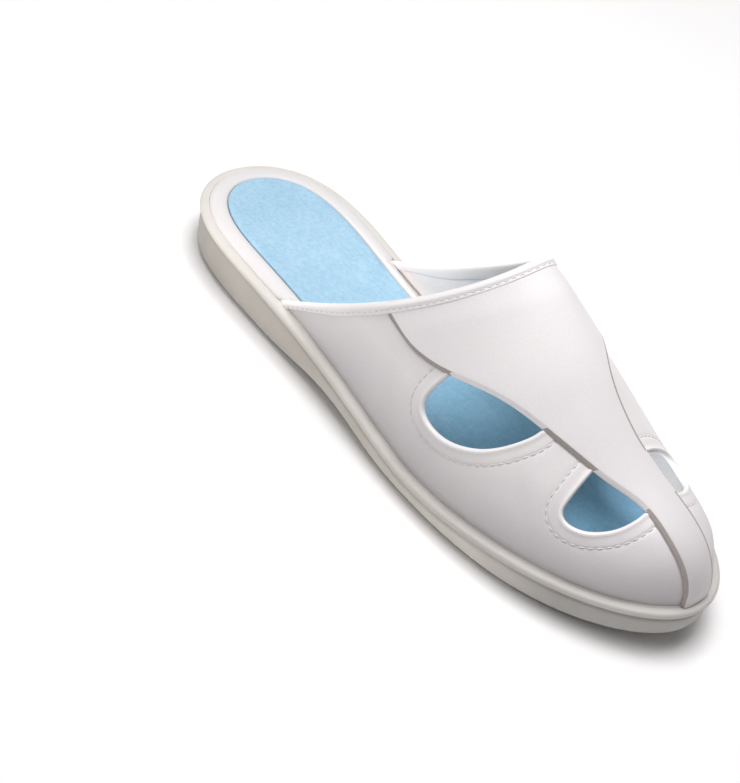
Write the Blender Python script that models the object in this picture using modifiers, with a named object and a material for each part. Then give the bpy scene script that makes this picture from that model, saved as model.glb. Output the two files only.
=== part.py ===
"""Open-back slipper, right foot: sole unit, footbed, insole pad, upper, vamp panel.

All sizes are millimetres in shoe coordinates until the vertices are made:
x towards the outer side of the foot, s along the sole from the heel, z up.
The toe points to -Y of the finished part and the sole stands on z = 0.
"""
import math

import bmesh
import bpy
import numpy as np

MM = 0.001

# ------------------------------------------------------------------ sizes
LENGTH = 280.0          # sole, heel to toe
HEEL_RADIUS = (30.3, 36.0)   # end radius of the outline, outer and inner half
TOE_RADIUS = (19.7, 27.5)
TOE_SWING = 4.9         # toe tip lies this far to the inner side of the axis
RIM_HEEL = 21.2         # height of the sole's top rim
RIM_BALL = 13.8
RIM_TOE = 20.6
ARCH_RISE = 3.4         # hollow under the waist
TOE_SPRING = 6.4        # lift of the tread at the toe tip
HEEL_BEVEL = 1.6        # lift of the tread at the back of the heel
LIP_WIDTH = 3.7         # flat top of the rim, outside to the recess
RECESS = 2.0            # depth of the recess that takes the footbed
GAP = 0.3               # clearance between neighbouring pieces
FEATHER = LIP_WIDTH + GAP    # line where the upper goes down inside the rim
WALL = 1.8              # wall of the upper
PAD_INSET = 10.9        # edge of the blue pad, in from the rim
BORDER_RISE = 1.6       # border of the footbed above the rim
POCKET_RISE = 0.0       # floor under the pad, level with the rim
PAD_RISE = 1.9          # top of the pad above the rim
PANEL_THICK = 1.2
TOE_NOSE = 27.4         # radius of the upper's nose in side view
COLLAR_SIDE = 79.5      # collar meets the rim here, from the heel
COLLAR_TOP = 163.5      # collar crosses the ridge here
COLLAR_POWER = 2.25
TREAD_DEPTH = 1.5

# station as a part of the length, half-width outer side, half-width inner side
OUTLINE = (
    (0.16, 35.5, 35.5),
    (0.42, 39.6, 30.8),
    (0.56, 43.7, 38.0),
    (0.70, 45.0, 46.2),
    (0.82, 39.9, 45.4),
    (0.92, 28.6, 34.0),
)
# station, rise of the ridge over the rim, ridge off the axis (inner side minus)
RIDGE = (
    (78.0, 108.0, -4.5),
    (165.0, 78.8, -4.5),
    (207.0, 53.3, -3.5),
    (244.0, 30.8, -3.6),
)
# station, fullness low and high on the outer side, low and high on the inner side
FULLNESS = (
    (78.0, 0.45, 0.45, 0.43, 0.42),
    (165.0, 0.45, 0.45, 0.43, 0.42),
    (238.0, 0.50, 0.50, 0.49, 0.49),
    (280.0, 0.50, 0.50, 0.49, 0.49),
)
# station, girth from the ridge down to the vamp panel's edge, outer side and inner side
PANEL_EDGE = (
    (125.0, 66.0, 63.0),
    (150.0, 62.0, 59.0),
    (170.0, 51.0, 46.5),
    (190.0, 36.7, 30.0),
    (210.0, 25.2, 18.0),
    (230.0, 15.3, 12.0),
    (250.0, 8.6, 9.0),
)
# station, half-width in plan of the strip that the panel becomes over the toe
TOE_STRIP = (
    (222.0, 18.5, 13.0),
    (248.0, 8.9, 8.6),
    (262.0, 8.9, 7.8),
    (276.0, 7.4, 6.6),
)
# station of the middle, half-length along the panel edge, depth, lean to the heel, squareness
CUTOUTS = (
    (186.5, 20.0, 23.8, 0.23, 2.0),
    (237.7, 10.2, 20.0, 0.05, 2.5),
)
# profile of the sole from the tread up: inset from the outline, height, from the ground or the rim
SOLE_PROFILE = (
    (11.0, 0.0, "ground"),
    (5.2, 0.0, "ground"),
    (2.8, 1.0, "ground"),
    (1.4, 3.4, "ground"),
    (1.0, -4.6, "rim"),
    (1.9, -3.7, "rim"),
    (0.3, -2.9, "rim"),
    (0.0, -1.6, "rim"),
    (0.6, -0.4, "rim"),
    (1.6, 0.0, "rim"),
    (LIP_WIDTH, 0.0, "rim"),
    (LIP_WIDTH, -RECESS, "rim"),
)
# round dishes in the tread: station, off the axis (outer side plus), radius
DISHES = (
    (247.0, -4.0, 8.5),
    (232.0, 17.0, 8.0),
    (232.0, -27.0, 8.0),
    (205.0, 27.0, 8.5),
    (180.0, -22.0, 7.5),
    (176.0, 24.0, 8.0),
    (62.0, 14.0, 7.0),
    (62.0, -14.0, 7.0),
    (17.0, 0.0, 6.0),
)
# pivot circles: station, off the axis, then inner and outer radius of each groove
PIVOTS = (
    (206.0, -17.0, ((0.0, 4.5), (9.0, 11.6), (16.0, 18.8))),
    (37.0, 0.0, ((0.0, 4.0), (8.5, 11.0))),
)

HALF_POINTS = 30        # points on each half of an outline
ROWS = 25               # rows of the upper from the collar to the toe
PANEL_COLS = 14
SIDE_COLS = 9


# ------------------------------------------------------------------ curves
def spline(xs, ys):
    """Natural cubic spline through the points, as a function."""
    xs = np.asarray(xs, float)
    ys = np.asarray(ys, float)
    n = len(xs)
    h = np.diff(xs)
    a = np.zeros((n, n))
    b = np.zeros(n)
    a[0, 0] = a[-1, -1] = 1.0
    for i in range(1, n - 1):
        a[i, i - 1], a[i, i], a[i, i + 1] = h[i - 1], 2 * (h[i - 1] + h[i]), h[i]
        b[i] = 3 * ((ys[i + 1] - ys[i]) / h[i] - (ys[i] - ys[i - 1]) / h[i - 1])
    c = np.linalg.solve(a, b)

    def curve(x):
        x = np.asarray(x, float)
        i = np.clip(np.searchsorted(xs, x) - 1, 0, n - 2)
        d = x - xs[i]
        slope = (ys[i + 1] - ys[i]) / h[i] - h[i] * (2 * c[i] + c[i + 1]) / 3
        return ys[i] + d * (slope + d * (c[i] + d * (c[i + 1] - c[i]) / (3 * h[i])))

    return curve


def column(rows, i):
    return [r[i] for r in rows]


def smooth(a, b, x):
    t = np.clip((np.asarray(x, float) - a) / (b - a), 0.0, 1.0)
    return t * t * (3 - 2 * t)


outline_bodies = {}


def outline_body(col, inset):
    """Width of one side of the outline with its round ends divided out."""
    if (col, inset) not in outline_bodies:
        length = LENGTH - 2 * inset
        qs = [(r[0] * LENGTH - inset) / length for r in OUTLINE]
        ends = [math.sqrt(2 * (rad[col - 1] - inset) * length) / 2
                for rad in (HEEL_RADIUS, TOE_RADIUS)]
        lean = [1.0] * len(OUTLINE)
        if inset > 0:
            at = np.array([r[0] * LENGTH for r in OUTLINE])
            side = 1 if col == 1 else -1
            lean = np.hypot(1.0, half_width(side, at + 0.5) - half_width(side, at - 0.5))
        mids = [(r[col] - inset * k) / (2 * math.sqrt(q * (1 - q)))
                for r, q, k in zip(OUTLINE, qs, lean)]
        outline_bodies[col, inset] = spline([0.0] + qs + [1.0], [ends[0]] + mids + [ends[1]])
    return outline_bodies[col, inset]


def half_width(side, s, inset=0.0):
    """Half-width of the sole outline, set in by inset; round at both ends."""
    q = np.clip((np.asarray(s, float) - inset) / (LENGTH - 2 * inset), 0.0, 1.0)
    return 2 * np.sqrt(q * (1 - q)) * outline_body(1 if side > 0 else 2, inset)(q)


def axis_x(s):
    return -TOE_SWING * np.clip((np.asarray(s, float) / LENGTH - 0.45) / 0.55, 0.0, 1.0) ** 2


def edge_x(side, s, inset=0.0):
    return axis_x(s) + math.copysign(1.0, side) * half_width(side, s, inset)


def rim_z(s):
    q = np.asarray(s, float) / LENGTH
    drop = (RIM_HEEL - RIM_BALL) * smooth(0.18, 0.62, q)
    return RIM_HEEL - drop + (RIM_TOE - RIM_BALL) * np.clip((q - 0.68) / 0.32, 0.0, 1.0) ** 2


def ground_z(s):
    s = np.asarray(s, float)
    arch = ARCH_RISE * smooth(78.0, 118.0, s) * (1 - smooth(122.0, 162.0, s))
    toe = TOE_SPRING * np.clip((s - 214.0) / (LENGTH - 214.0), 0.0, 1.0) ** 2
    heel = HEEL_BEVEL * np.clip((14.0 - s) / 14.0, 0.0, 1.0) ** 2
    return arch + toe + heel


# ------------------------------------------------------------------ the upper's form
UPPER_END = LENGTH - FEATHER
rise_body = spline(
    [v / UPPER_END for v in column(RIDGE, 0)] + [1.0],
    [r[1] / math.sqrt(1 - r[0] / UPPER_END) for r in RIDGE]
    + [math.sqrt(2 * TOE_NOSE * UPPER_END)])
shift_body = spline(column(RIDGE, 0) + [UPPER_END],
                    column(RIDGE, 2) + [float(axis_x(UPPER_END))])
full_body = [spline(column(FULLNESS, 0), column(FULLNESS, i)) for i in (1, 2, 3, 4)]
panel_girth = {1: spline(column(PANEL_EDGE, 0), column(PANEL_EDGE, 1)),
               -1: spline(column(PANEL_EDGE, 0), column(PANEL_EDGE, 2))}
strip_width = {1: spline(column(TOE_STRIP, 0), column(TOE_STRIP, 1)),
               -1: spline(column(TOE_STRIP, 0), column(TOE_STRIP, 2))}


def ridge_rise(s):
    q = np.clip(np.asarray(s, float) / UPPER_END, 0.0, 1.0)
    return np.sqrt(1 - q) * rise_body(q)


def ridge_x(s):
    return np.clip(shift_body(s), edge_x(-1, s, FEATHER), edge_x(1, s, FEATHER))


def upper_point(s, t):
    """Point of the outer face: t is 1 at the outer feather line, 0 on the ridge, -1 inside."""
    s, t = np.broadcast_arrays(np.asarray(s, float), np.asarray(t, float))
    outer = t >= 0
    r = 1 - np.abs(t)
    foot = np.where(outer, edge_x(1, s, FEATHER), edge_x(-1, s, FEATHER))
    top = ridge_x(s)
    low = np.where(outer, full_body[0](s), full_body[2](s))
    high = np.where(outer, full_body[1](s), full_body[3](s))
    x = foot * (1 - r) ** 2 * (1 + 2 * r) + 3 * (top + high * (foot - top)) * r * r * (1 - r) + top * r ** 3
    z = rim_z(s) + ridge_rise(s) * (3 * low * r * (1 - r) ** 2 + 3 * r * r * (1 - r) + r ** 3)
    return np.stack([x, s, z], -1)


def upper_normal(s, t):
    """Outward normal of the outer face."""
    s, t = np.broadcast_arrays(np.asarray(s, float), np.asarray(t, float))
    ds, dt = 0.02, 1e-4
    s = np.minimum(s, UPPER_END - 2 * ds)
    t = np.clip(t, -1 + 2 * dt, 1 - 2 * dt)
    along = upper_point(s + ds, t) - upper_point(s - ds, t)
    across = upper_point(s, t + dt) - upper_point(s, t - dt)
    n = np.cross(across, along)
    return n / np.linalg.norm(n, axis=-1, keepdims=True)


def t_at_x(s, x):
    """Section parameter of the point that lies at x in plan."""
    s, x = np.broadcast_arrays(np.asarray(s, float), np.asarray(x, float))
    lo, hi = np.full(s.shape, -1.0), np.full(s.shape, 1.0)
    for _ in range(40):
        m = (lo + hi) / 2
        below = upper_point(s, m)[..., 0] < x
        lo, hi = np.where(below, m, lo), np.where(below, hi, m)
    return (lo + hi) / 2


def collar_s(t):
    return COLLAR_SIDE + (COLLAR_TOP - COLLAR_SIDE) * (1 - np.abs(t) ** COLLAR_POWER)


def t_at_girth(side, s, girth):
    """Section parameter at a distance along the section from the ridge."""
    s, girth = np.broadcast_arrays(np.atleast_1d(np.asarray(s, float)), np.asarray(girth, float))
    t = np.linspace(0.0, side, 91)
    p = upper_point(s[:, None], t[None, :])
    run = np.cumsum(np.linalg.norm(np.diff(p, axis=1), axis=2), axis=1)
    return np.array([np.interp(g, np.concatenate([[0.0], r]), np.abs(t)) * side
                     for g, r in zip(girth, run)])


def strip_x(v, s):
    """Plan position across the toe strip: v is 1 on its outer edge, -1 on its inner edge."""
    return shift_body(s) + v * strip_width[1 if v >= 0 else -1](s)


def panel_t(v, s):
    """Section parameter across the vamp panel: v is 1 on its outer edge, -1 on its inner edge."""
    s = np.atleast_1d(np.asarray(s, float))
    side = 1 if v >= 0 else -1
    by_girth = abs(v) * t_at_girth(side, s, panel_girth[side](s))
    by_plan = t_at_x(s, strip_x(v, s))
    w = smooth(222.0, 248.0, s)
    return (1 - w) * by_girth + w * by_plan


def solve(f, lo, hi):
    """Root of a rising function between lo and hi."""
    for _ in range(50):
        m = (lo + hi) / 2
        if f(m) < 0:
            lo = m
        else:
            hi = m
    return (lo + hi) / 2


def panel_column(v):
    """Start on the collar and end on the toe's feather line of one panel column."""
    start = solve(lambda s: s - float(collar_s(panel_t(v, s)[0])), COLLAR_SIDE + 1, COLLAR_TOP + 1)

    def outside(s):
        x = float(strip_x(v, s))
        return max(x - float(edge_x(1, s, FEATHER)), float(edge_x(-1, s, FEATHER)) - x)

    end = solve(outside, 255.0, UPPER_END)
    return start, end


def advance(u):
    """Row spacing, closer together towards the toe where the nose turns down."""
    return 0.42 * u + 0.58 * np.sin(np.pi / 2 * u)


def upper_patches():
    """(s, t) of the three patches: outer side, panel, inner side; rows run collar to toe."""
    u = np.linspace(0.0, 1.0, ROWS + 1)
    h = advance(u)
    panel = []
    for v in np.linspace(1.0, -1.0, PANEL_COLS + 1):
        start, end = panel_column(v)
        s = start + (end - start) * h
        t = panel_t(v, s)
        t[-1] = math.copysign(1.0, float(strip_x(v, end) - ridge_x(end)))
        panel.append(np.stack([s, t], -1))
    sides = {}
    for side in (1, -1):
        start, end = panel_column(side)
        t_start = float(panel_t(side, start)[0])
        cols = []
        for r in np.linspace(0.0, 1.0, SIDE_COLS + 1):
            first = float(collar_s(t_start + (side - t_start) * r))
            s = first + (end - first) * h
            seam = panel_t(side, s)
            seam[-1] = side
            cols.append(np.stack([s, seam + (side - seam) * r], -1))
        sides[side] = cols
    return sides[1], panel, sides[-1]


# ------------------------------------------------------------------ meshes
CENTRE_X = 0.0


def placed(p):
    """Shoe coordinates to the part's frame, in metres."""
    p = np.asarray(p, float)
    return np.stack([-(p[..., 0] - CENTRE_X), LENGTH / 2 - p[..., 1], p[..., 2]], -1) * MM


def make_object(name, verts, faces, collection, slot=None):
    mesh = bpy.data.meshes.new(name)
    mesh.from_pydata([tuple(v) for v in placed(np.asarray(verts))], [], faces)
    bm = bmesh.new()
    bm.from_mesh(mesh)
    bmesh.ops.remove_doubles(bm, verts=bm.verts, dist=2e-6)
    bmesh.ops.dissolve_degenerate(bm, edges=bm.edges, dist=2e-6)
    bmesh.ops.recalc_face_normals(bm, faces=bm.faces)
    bm.to_mesh(mesh)
    bm.free()
    obj = bpy.data.objects.new(name, mesh)
    collection.objects.link(obj)
    if slot is not None:
        mesh.materials.append(slot)
    return obj


def material(name, colour, roughness):
    mat = bpy.data.materials.new(name)
    mat.use_nodes = True
    bsdf = mat.node_tree.nodes["Principled BSDF"]
    bsdf.inputs["Base Color"].default_value = (*colour, 1.0)
    bsdf.inputs["Roughness"].default_value = roughness
    bsdf.inputs["Metallic"].default_value = 0.0
    return mat


def outline_ring(inset, height):
    """Closed ring: outer half heel to toe, then the inner half back to the heel.

    The ring is set in square to the outline; rings inside the lip keep their
    distance from the feather line.
    """
    base = FEATHER if inset >= LIP_WIDTH else 0.0
    u = np.linspace(0.0, 1.0, HALF_POINTS + 1)
    s = base + (LENGTH - 2 * base) * (1 - np.cos(np.pi * u)) / 2
    outer = np.stack([edge_x(1, s, base), s], -1)
    inner = np.stack([edge_x(-1, s, base), s], -1)
    ring = np.concatenate([outer, inner[1:-1][::-1]])
    along = np.roll(ring, -1, axis=0) - np.roll(ring, 1, axis=0)
    along /= np.linalg.norm(along, axis=1, keepdims=True)
    ring = ring + (inset - base) * np.stack([-along[:, 1], along[:, 0]], -1)
    return np.concatenate([ring, height(ring[:, 1])[:, None]], axis=1)


def blend_rings(heel_ring, fore_ring):
    """Heel part of one ring and fore part of another, changing over behind the collar's end."""
    w = smooth(COLLAR_SIDE - 14.0, COLLAR_SIDE - 3.0, heel_ring[:, 1])[:, None]
    return heel_ring * (1 - w) + fore_ring * w


def ring_solid(name, rings, collection, slot):
    """Loft through closed rings with the first and last ring filled by strips."""
    n = len(rings[0])
    verts = np.concatenate(rings)
    faces = []
    for k in range(len(rings) - 1):
        for i in range(n):
            j = (i + 1) % n
            faces.append((k * n + i, k * n + j, (k + 1) * n + j, (k + 1) * n + i))
    for base in (0, (len(rings) - 1) * n):
        for i in range(1, n // 2 - 1):
            faces.append((base + i, base + i + 1, base + n - i - 1, base + n - i))
        faces.append((base, base + 1, base + n - 1))
        faces.append((base + n // 2 - 1, base + n // 2, base + n // 2 + 1))
    return make_object(name, verts, faces, collection, slot)


def sheet_faces(cols):
    """Triangles of a grid given as columns of vertex numbers, all split the same way."""
    faces = []
    for a, b in zip(cols[:-1], cols[1:]):
        for i in range(len(a) - 1):
            for tri in ((a[i], b[i], b[i + 1]), (a[i], b[i + 1], a[i + 1])):
                if len(set(tri)) == 3:
                    faces.append(tri)
    return faces


def cut(target, cutter):
    mod = target.modifiers.new(cutter.name, 'BOOLEAN')
    mod.operation = 'DIFFERENCE'
    mod.solver = 'EXACT'
    mod.object = cutter


# ------------------------------------------------------------------ pieces
def build_outsole(parts, cutters, slot):
    rings = []
    for inset, z, base in SOLE_PROFILE:
        level = ground_z if base == "ground" else rim_z
        rings.append(outline_ring(inset, lambda s, level=level, z=z: level(s) + z))
    sole = ring_solid("outsole", rings, parts, slot)
    bm = bmesh.new()
    for s, off, radius in DISHES:
        add_dish(bm, s, off, 0.0, radius, 16)
    for s, off, grooves in PIVOTS:
        for r0, r1 in grooves:
            add_dish(bm, s, off, r0, r1, 16 if r1 < 6 else 24)
    mesh = bpy.data.meshes.new("tread_cutter")
    bm.to_mesh(mesh)
    bm.free()
    cutter = bpy.data.objects.new("tread_cutter", mesh)
    cutters.objects.link(cutter)
    cut(sole, cutter)
    return sole


def add_dish(bm, s, off, r0, r1, segments):
    """Round recess or ring groove of the tread, as a turned profile."""
    level = float(ground_z(s)) + TREAD_DEPTH
    x = float(axis_x(s)) + off
    profile = [(r0, -3.0), (r1, -3.0), (r1 - 0.5, level), (r0 + (0.5 if r0 > 0 else 0.0), level)]
    mid = placed(np.array([x, s, 0.0]))
    verts = [bm.verts.new((mid[0] + r * MM, mid[1], z * MM)) for r, z in profile]
    edges = [bm.edges.new((verts[i], verts[(i + 1) % 4])) for i in range(4) if not (r0 == 0 and i == 3)]
    done = bmesh.ops.spin(bm, geom=edges, cent=(mid[0], mid[1], 0.0), axis=(0, 0, 1),
                          dvec=(0, 0, 0), angle=2 * math.pi, steps=segments, use_merge=True)
    near = [v for v in bm.verts
            if (v.co.x - mid[0]) ** 2 + (v.co.y - mid[1]) ** 2 < ((r1 + 0.1) * MM) ** 2]
    bmesh.ops.remove_doubles(bm, verts=near, dist=1e-6)
    faces = [f for f in bm.faces
             if (f.calc_center_median().xy - mid_xy(mid)).length < (r1 + 0.1) * MM]
    bmesh.ops.recalc_face_normals(bm, faces=faces)
    return done


def mid_xy(mid):
    from mathutils import Vector
    return Vector((mid[0], mid[1]))


def build_footbed(parts, slot):
    fore = FEATHER + WALL + GAP + 0.15
    rings = []
    for step, z in ((4.0, -RECESS + GAP), (0.0, -RECESS + GAP), (0.0, BORDER_RISE - 1.1),
                    (0.4, BORDER_RISE - 0.4), (1.4, BORDER_RISE)):
        level = lambda s, z=z: rim_z(s) + z
        rings.append(blend_rings(outline_ring(FEATHER + step, level), outline_ring(fore + step, level)))
    for inset, z in ((PAD_INSET - GAP, BORDER_RISE), (PAD_INSET - GAP, POCKET_RISE)):
        rings.append(outline_ring(inset, lambda s, z=z: rim_z(s) + z))
    return ring_solid("footbed", rings, parts, slot)


def build_pad(parts, slot):
    rings = []
    for inset, z in ((PAD_INSET + 4.0, POCKET_RISE + GAP), (PAD_INSET, POCKET_RISE + GAP),
                     (PAD_INSET, PAD_RISE - 0.6), (PAD_INSET + 0.5, PAD_RISE - 0.15),
                     (PAD_INSET + 1.4, PAD_RISE)):
        rings.append(outline_ring(inset, lambda s, z=z: rim_z(s) + z))
    return ring_solid("insole_pad", rings, parts, slot)


def build_upper(parts, cutters, slot, patches):
    outer, panel, inner = patches
    verts = []
    seen = {}

    def number(s, t):
        p = upper_point(s, t)
        key = tuple(np.round(p, 4))
        if key not in seen:
            seen[key] = len(verts)
            verts.append(p)
        return seen[key]

    grids = [[[number(s, t) for s, t in col] for col in patch] for patch in (outer, panel, inner)]
    faces = []
    for grid in grids:
        faces += sheet_faces(grid)
    foot = list(grids[0][-1]) + [col[-1] for col in grids[1]][1:] + list(grids[2][-1][::-1])[1:]
    skirt = []
    for k in foot:
        skirt.append(len(verts))
        verts.append(np.array(verts[k]) - (0.0, 0.0, RECESS - GAP))
    for i in range(len(foot) - 1):
        faces.append((foot[i], foot[i + 1], skirt[i + 1], skirt[i]))
    shell = make_object("upper", verts, faces, parts, slot)
    face_out(shell)
    wall = shell.modifiers.new("wall", 'SOLIDIFY')
    wall.thickness = WALL * MM
    wall.offset = -1.0
    wall.use_rim = True
    for side, name in ((1, "outer"), (-1, "inner")):
        for k, row in enumerate(CUTOUTS):
            cut(shell, cutout_cutter("%s_cutout_%d" % (name, k + 1), side, row, cutters))
    return shell


def face_out(obj):
    """Turn an open sheet so that its normals point away from the foot."""
    mesh = obj.data
    up = sum(p.normal.z * p.area for p in mesh.polygons)
    if up < 0:
        mesh.flip_normals()


def below_seam(side, s, depth):
    """Section parameter at a girth distance below the panel's edge."""
    seam = float(panel_t(side, s)[0])
    t = np.linspace(seam, side, 81)
    p = upper_point(np.full(81, s), t)
    run = np.concatenate([[0.0], np.cumsum(np.linalg.norm(np.diff(p, axis=0), axis=1))])
    if depth < 0:
        return seam - side * abs(depth) * abs(t[1] - t[0]) / run[1]
    return float(np.interp(depth, run, t))


def cutout_outline(side, row):
    """Half-moon under the panel's edge, as (s, t); its straight side lies under the panel."""
    mid, half, deep, lean, square = row
    out = []
    for a in np.linspace(0.0, math.pi, 21):
        c, d = math.cos(a), math.sin(a)
        drop = deep * abs(d) ** (2 / square)
        s = mid + half * math.copysign(abs(c) ** (2 / square), c) - lean * drop
        out.append((s, below_seam(side, s, drop)))
    for s in np.linspace(mid - half + 0.8, mid + half - 0.8, 11):
        out.append((s, below_seam(side, s, -2.5)))
    return out


def cutout_cutter(name, side, row, cutters):
    """Plug for one cut-out, between two forms outside and inside the upper's wall."""
    mid, half, deep, lean, square = row
    heart = mid - lean * deep * 0.45
    pts = cutout_outline(side, row) + [(heart, below_seam(side, heart, deep * 0.45))]
    n = len(pts) - 1
    s, t = np.array([p[0] for p in pts]), np.array([p[1] for p in pts])
    base, normal = upper_point(s, t), upper_normal(s, t)
    verts = np.concatenate([base + 7.0 * normal, base - 7.0 * normal])
    low = n + 1
    faces = []
    for i in range(n):
        j = (i + 1) % n
        faces += [(i, j, low + j, low + i), (i, j, n), (low + i, low + j, low + n)]
    return make_object(name, verts, faces, cutters)


def build_panel(parts, slot, panel):
    """Vamp panel: the upper's own middle patch, moved out by the gap and given its thickness."""
    low, high = [], []
    for col in panel:
        s, t = col[:, 0].copy(), col[:, 1]
        p, n = upper_point(s, t), upper_normal(s, t)
        lift = np.maximum(0.0, rim_z(s) + 0.6 - p[:, 2])
        p = p + np.stack([0 * lift, 0 * lift, lift], -1)
        n[-1] = (0.0, 1.0, 0.0) + 0.0 * n[-1]
        low.append(p + GAP * n)
        high.append(p + (GAP + PANEL_THICK) * n)
    rows = len(low[0])
    verts = [q for col in low for q in col] + [q for col in high for q in col]
    top = len(low) * rows
    bottom_cols = [[c * rows + r for r in range(rows)] for c in range(len(low))]
    top_cols = [[top + k for k in col] for col in bottom_cols]
    faces = sheet_faces(bottom_cols) + sheet_faces(top_cols)
    rim = bottom_cols[0] + [c[-1] for c in bottom_cols[1:]] + bottom_cols[-1][-2::-1] + [c[0] for c in bottom_cols[-2:0:-1]]
    for i in range(len(rim)):
        a, b = rim[i], rim[(i + 1) % len(rim)]
        faces.append((a, b, b + top, a + top))
    return make_object("vamp_panel", verts, faces, parts, slot)


def main():
    global CENTRE_X
    for obj in list(bpy.data.objects):
        bpy.data.objects.remove(obj, do_unlink=True)
    s = np.linspace(0.0, LENGTH, 801)
    CENTRE_X = float((edge_x(1, s).max() + edge_x(-1, s).min()) / 2)
    parts = bpy.data.collections.new("slipper")
    cutters = bpy.data.collections.new("cutters")
    for c in (parts, cutters):
        bpy.context.scene.collection.children.link(c)
    build_outsole(parts, cutters, material("sole_rubber", (0.78, 0.75, 0.69), 0.6))
    build_footbed(parts, material("footbed_cover", (0.85, 0.84, 0.83), 0.55))
    build_pad(parts, material("pad_weave", (0.22, 0.58, 0.80), 0.85))
    patches = upper_patches()
    build_upper(parts, cutters, material("upper_leather", (0.86, 0.85, 0.86), 0.5), patches)
    build_panel(parts, material("panel_leather", (0.87, 0.86, 0.87), 0.5), patches[1])
    for obj in cutters.objects:
        obj.hide_render = True
        obj.display_type = 'WIRE'


main()
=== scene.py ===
"""Looks of an open-back work slipper, right foot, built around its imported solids.

Sizes are millimetres in shoe coordinates until vertices are made: x towards the outer
side of the foot, s along the sole from the heel, z up.  placed() turns them into the
part's frame in metres.
"""

import math

import bmesh
import bpy
import numpy as np
from mathutils import Matrix, Vector
from mathutils.geometry import delaunay_2d_cdt


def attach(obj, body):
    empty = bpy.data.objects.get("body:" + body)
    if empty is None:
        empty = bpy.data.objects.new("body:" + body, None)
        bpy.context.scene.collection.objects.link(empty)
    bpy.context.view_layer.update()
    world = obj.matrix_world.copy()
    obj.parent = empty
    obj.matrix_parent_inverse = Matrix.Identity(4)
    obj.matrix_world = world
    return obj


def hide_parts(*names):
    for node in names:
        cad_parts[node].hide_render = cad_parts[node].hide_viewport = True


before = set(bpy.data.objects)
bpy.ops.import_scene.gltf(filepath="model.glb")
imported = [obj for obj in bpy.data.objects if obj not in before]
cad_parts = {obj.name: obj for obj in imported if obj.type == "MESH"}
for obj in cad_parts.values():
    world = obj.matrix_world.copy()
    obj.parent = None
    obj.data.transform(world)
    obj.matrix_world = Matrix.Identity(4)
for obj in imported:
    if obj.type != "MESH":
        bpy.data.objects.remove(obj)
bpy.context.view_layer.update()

MM = 0.001

# ------------------------------------------------------------------ sizes of the solids
LENGTH = 280.0
HEEL_RADIUS = (30.3, 36.0)
TOE_RADIUS = (19.7, 27.5)
TOE_SWING = 4.9
RIM_HEEL = 21.2
RIM_BALL = 13.8
RIM_TOE = 20.6
ARCH_RISE = 3.4
TOE_SPRING = 6.4
HEEL_BEVEL = 1.6
LIP_WIDTH = 3.7
RECESS = 2.0
GAP = 0.3
FEATHER = LIP_WIDTH + GAP
WALL = 1.8
PAD_INSET = 10.9
BORDER_RISE = 1.6
PAD_RISE = 1.9
TOE_NOSE = 27.4
COLLAR_SIDE = 79.5
COLLAR_TOP = 163.5
COLLAR_POWER = 2.25

# station as a part of the length, half-width outer side, half-width inner side
OUTLINE = (
    (0.16, 35.5, 35.5),
    (0.42, 39.6, 30.8),
    (0.56, 43.7, 38.0),
    (0.70, 45.0, 46.2),
    (0.82, 39.9, 45.4),
    (0.92, 28.6, 34.0),
)
# station, rise of the ridge over the rim, ridge off the axis
RIDGE = (
    (78.0, 108.0, -4.5),
    (165.0, 78.8, -4.5),
    (207.0, 53.3, -3.5),
    (244.0, 30.8, -3.6),
)
# station, fullness low and high on the outer side, low and high on the inner side
FULLNESS = (
    (78.0, 0.45, 0.45, 0.43, 0.42),
    (165.0, 0.45, 0.45, 0.43, 0.42),
    (238.0, 0.50, 0.50, 0.49, 0.49),
    (280.0, 0.50, 0.50, 0.49, 0.49),
)
# station, girth from the ridge to the vamp panel's edge, outer side and inner side
PANEL_EDGE = {
    1: ((125.0, 67.5), (140.0, 66.0), (150.0, 63.6), (170.0, 52.0), (190.0, 37.2), (210.0, 25.4), (230.0, 15.2),
        (250.0, 8.4)),
    -1: ((125.0, 63.0), (140.0, 61.0), (150.0, 57.0), (170.0, 42.0), (185.0, 25.5), (196.0, 14.5), (205.0, 9.2),
         (215.0, 8.0), (226.0, 8.4), (238.0, 10.4), (250.0, 10.2)),
}
# station, half-width in plan of the strip over the toe
TOE_STRIP = (
    (222.0, 18.5, 8.2),
    (248.0, 7.8, 10.0),
    (262.0, 7.8, 9.2),
    (276.0, 6.3, 7.7),
)
# curved edges of the cut-outs, rear end to front end: station, depth below the panel's edge
CUTOUTS = {
    1: (((168.2, 0.0), (166.0, 6.6), (164.9, 12.0), (165.6, 16.4), (168.9, 20.0), (174.3, 22.7), (180.8, 23.9),
         (186.6, 23.1), (193.6, 19.8), (199.2, 14.6), (203.4, 8.4), (205.8, 3.0), (206.4, 0.0)),
        ((227.2, 0.0), (227.7, 5.0), (228.2, 10.1), (228.7, 14.9), (229.7, 18.3), (232.3, 20.0), (235.9, 20.1),
         (239.4, 19.0), (243.2, 15.9), (246.1, 11.6), (247.6, 6.9), (248.1, 2.5), (248.0, 0.0))),
    -1: (((155.2, 0.0), (153.6, 5.4), (152.7, 9.8), (153.3, 13.4), (155.9, 16.4), (160.3, 18.6), (165.5, 19.6),
          (170.1, 18.9), (175.7, 16.2), (180.2, 12.0), (183.5, 6.9), (185.3, 2.5), (185.8, 0.0)),
         ((230.6, 0.0), (230.4, 5.5), (230.6, 10.8), (231.0, 15.4), (232.2, 18.6), (234.4, 20.0), (237.0, 19.8),
          (239.8, 18.2), (242.8, 14.9), (245.2, 10.6), (246.5, 6.0), (246.9, 2.4), (246.8, 0.0))),
}
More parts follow.
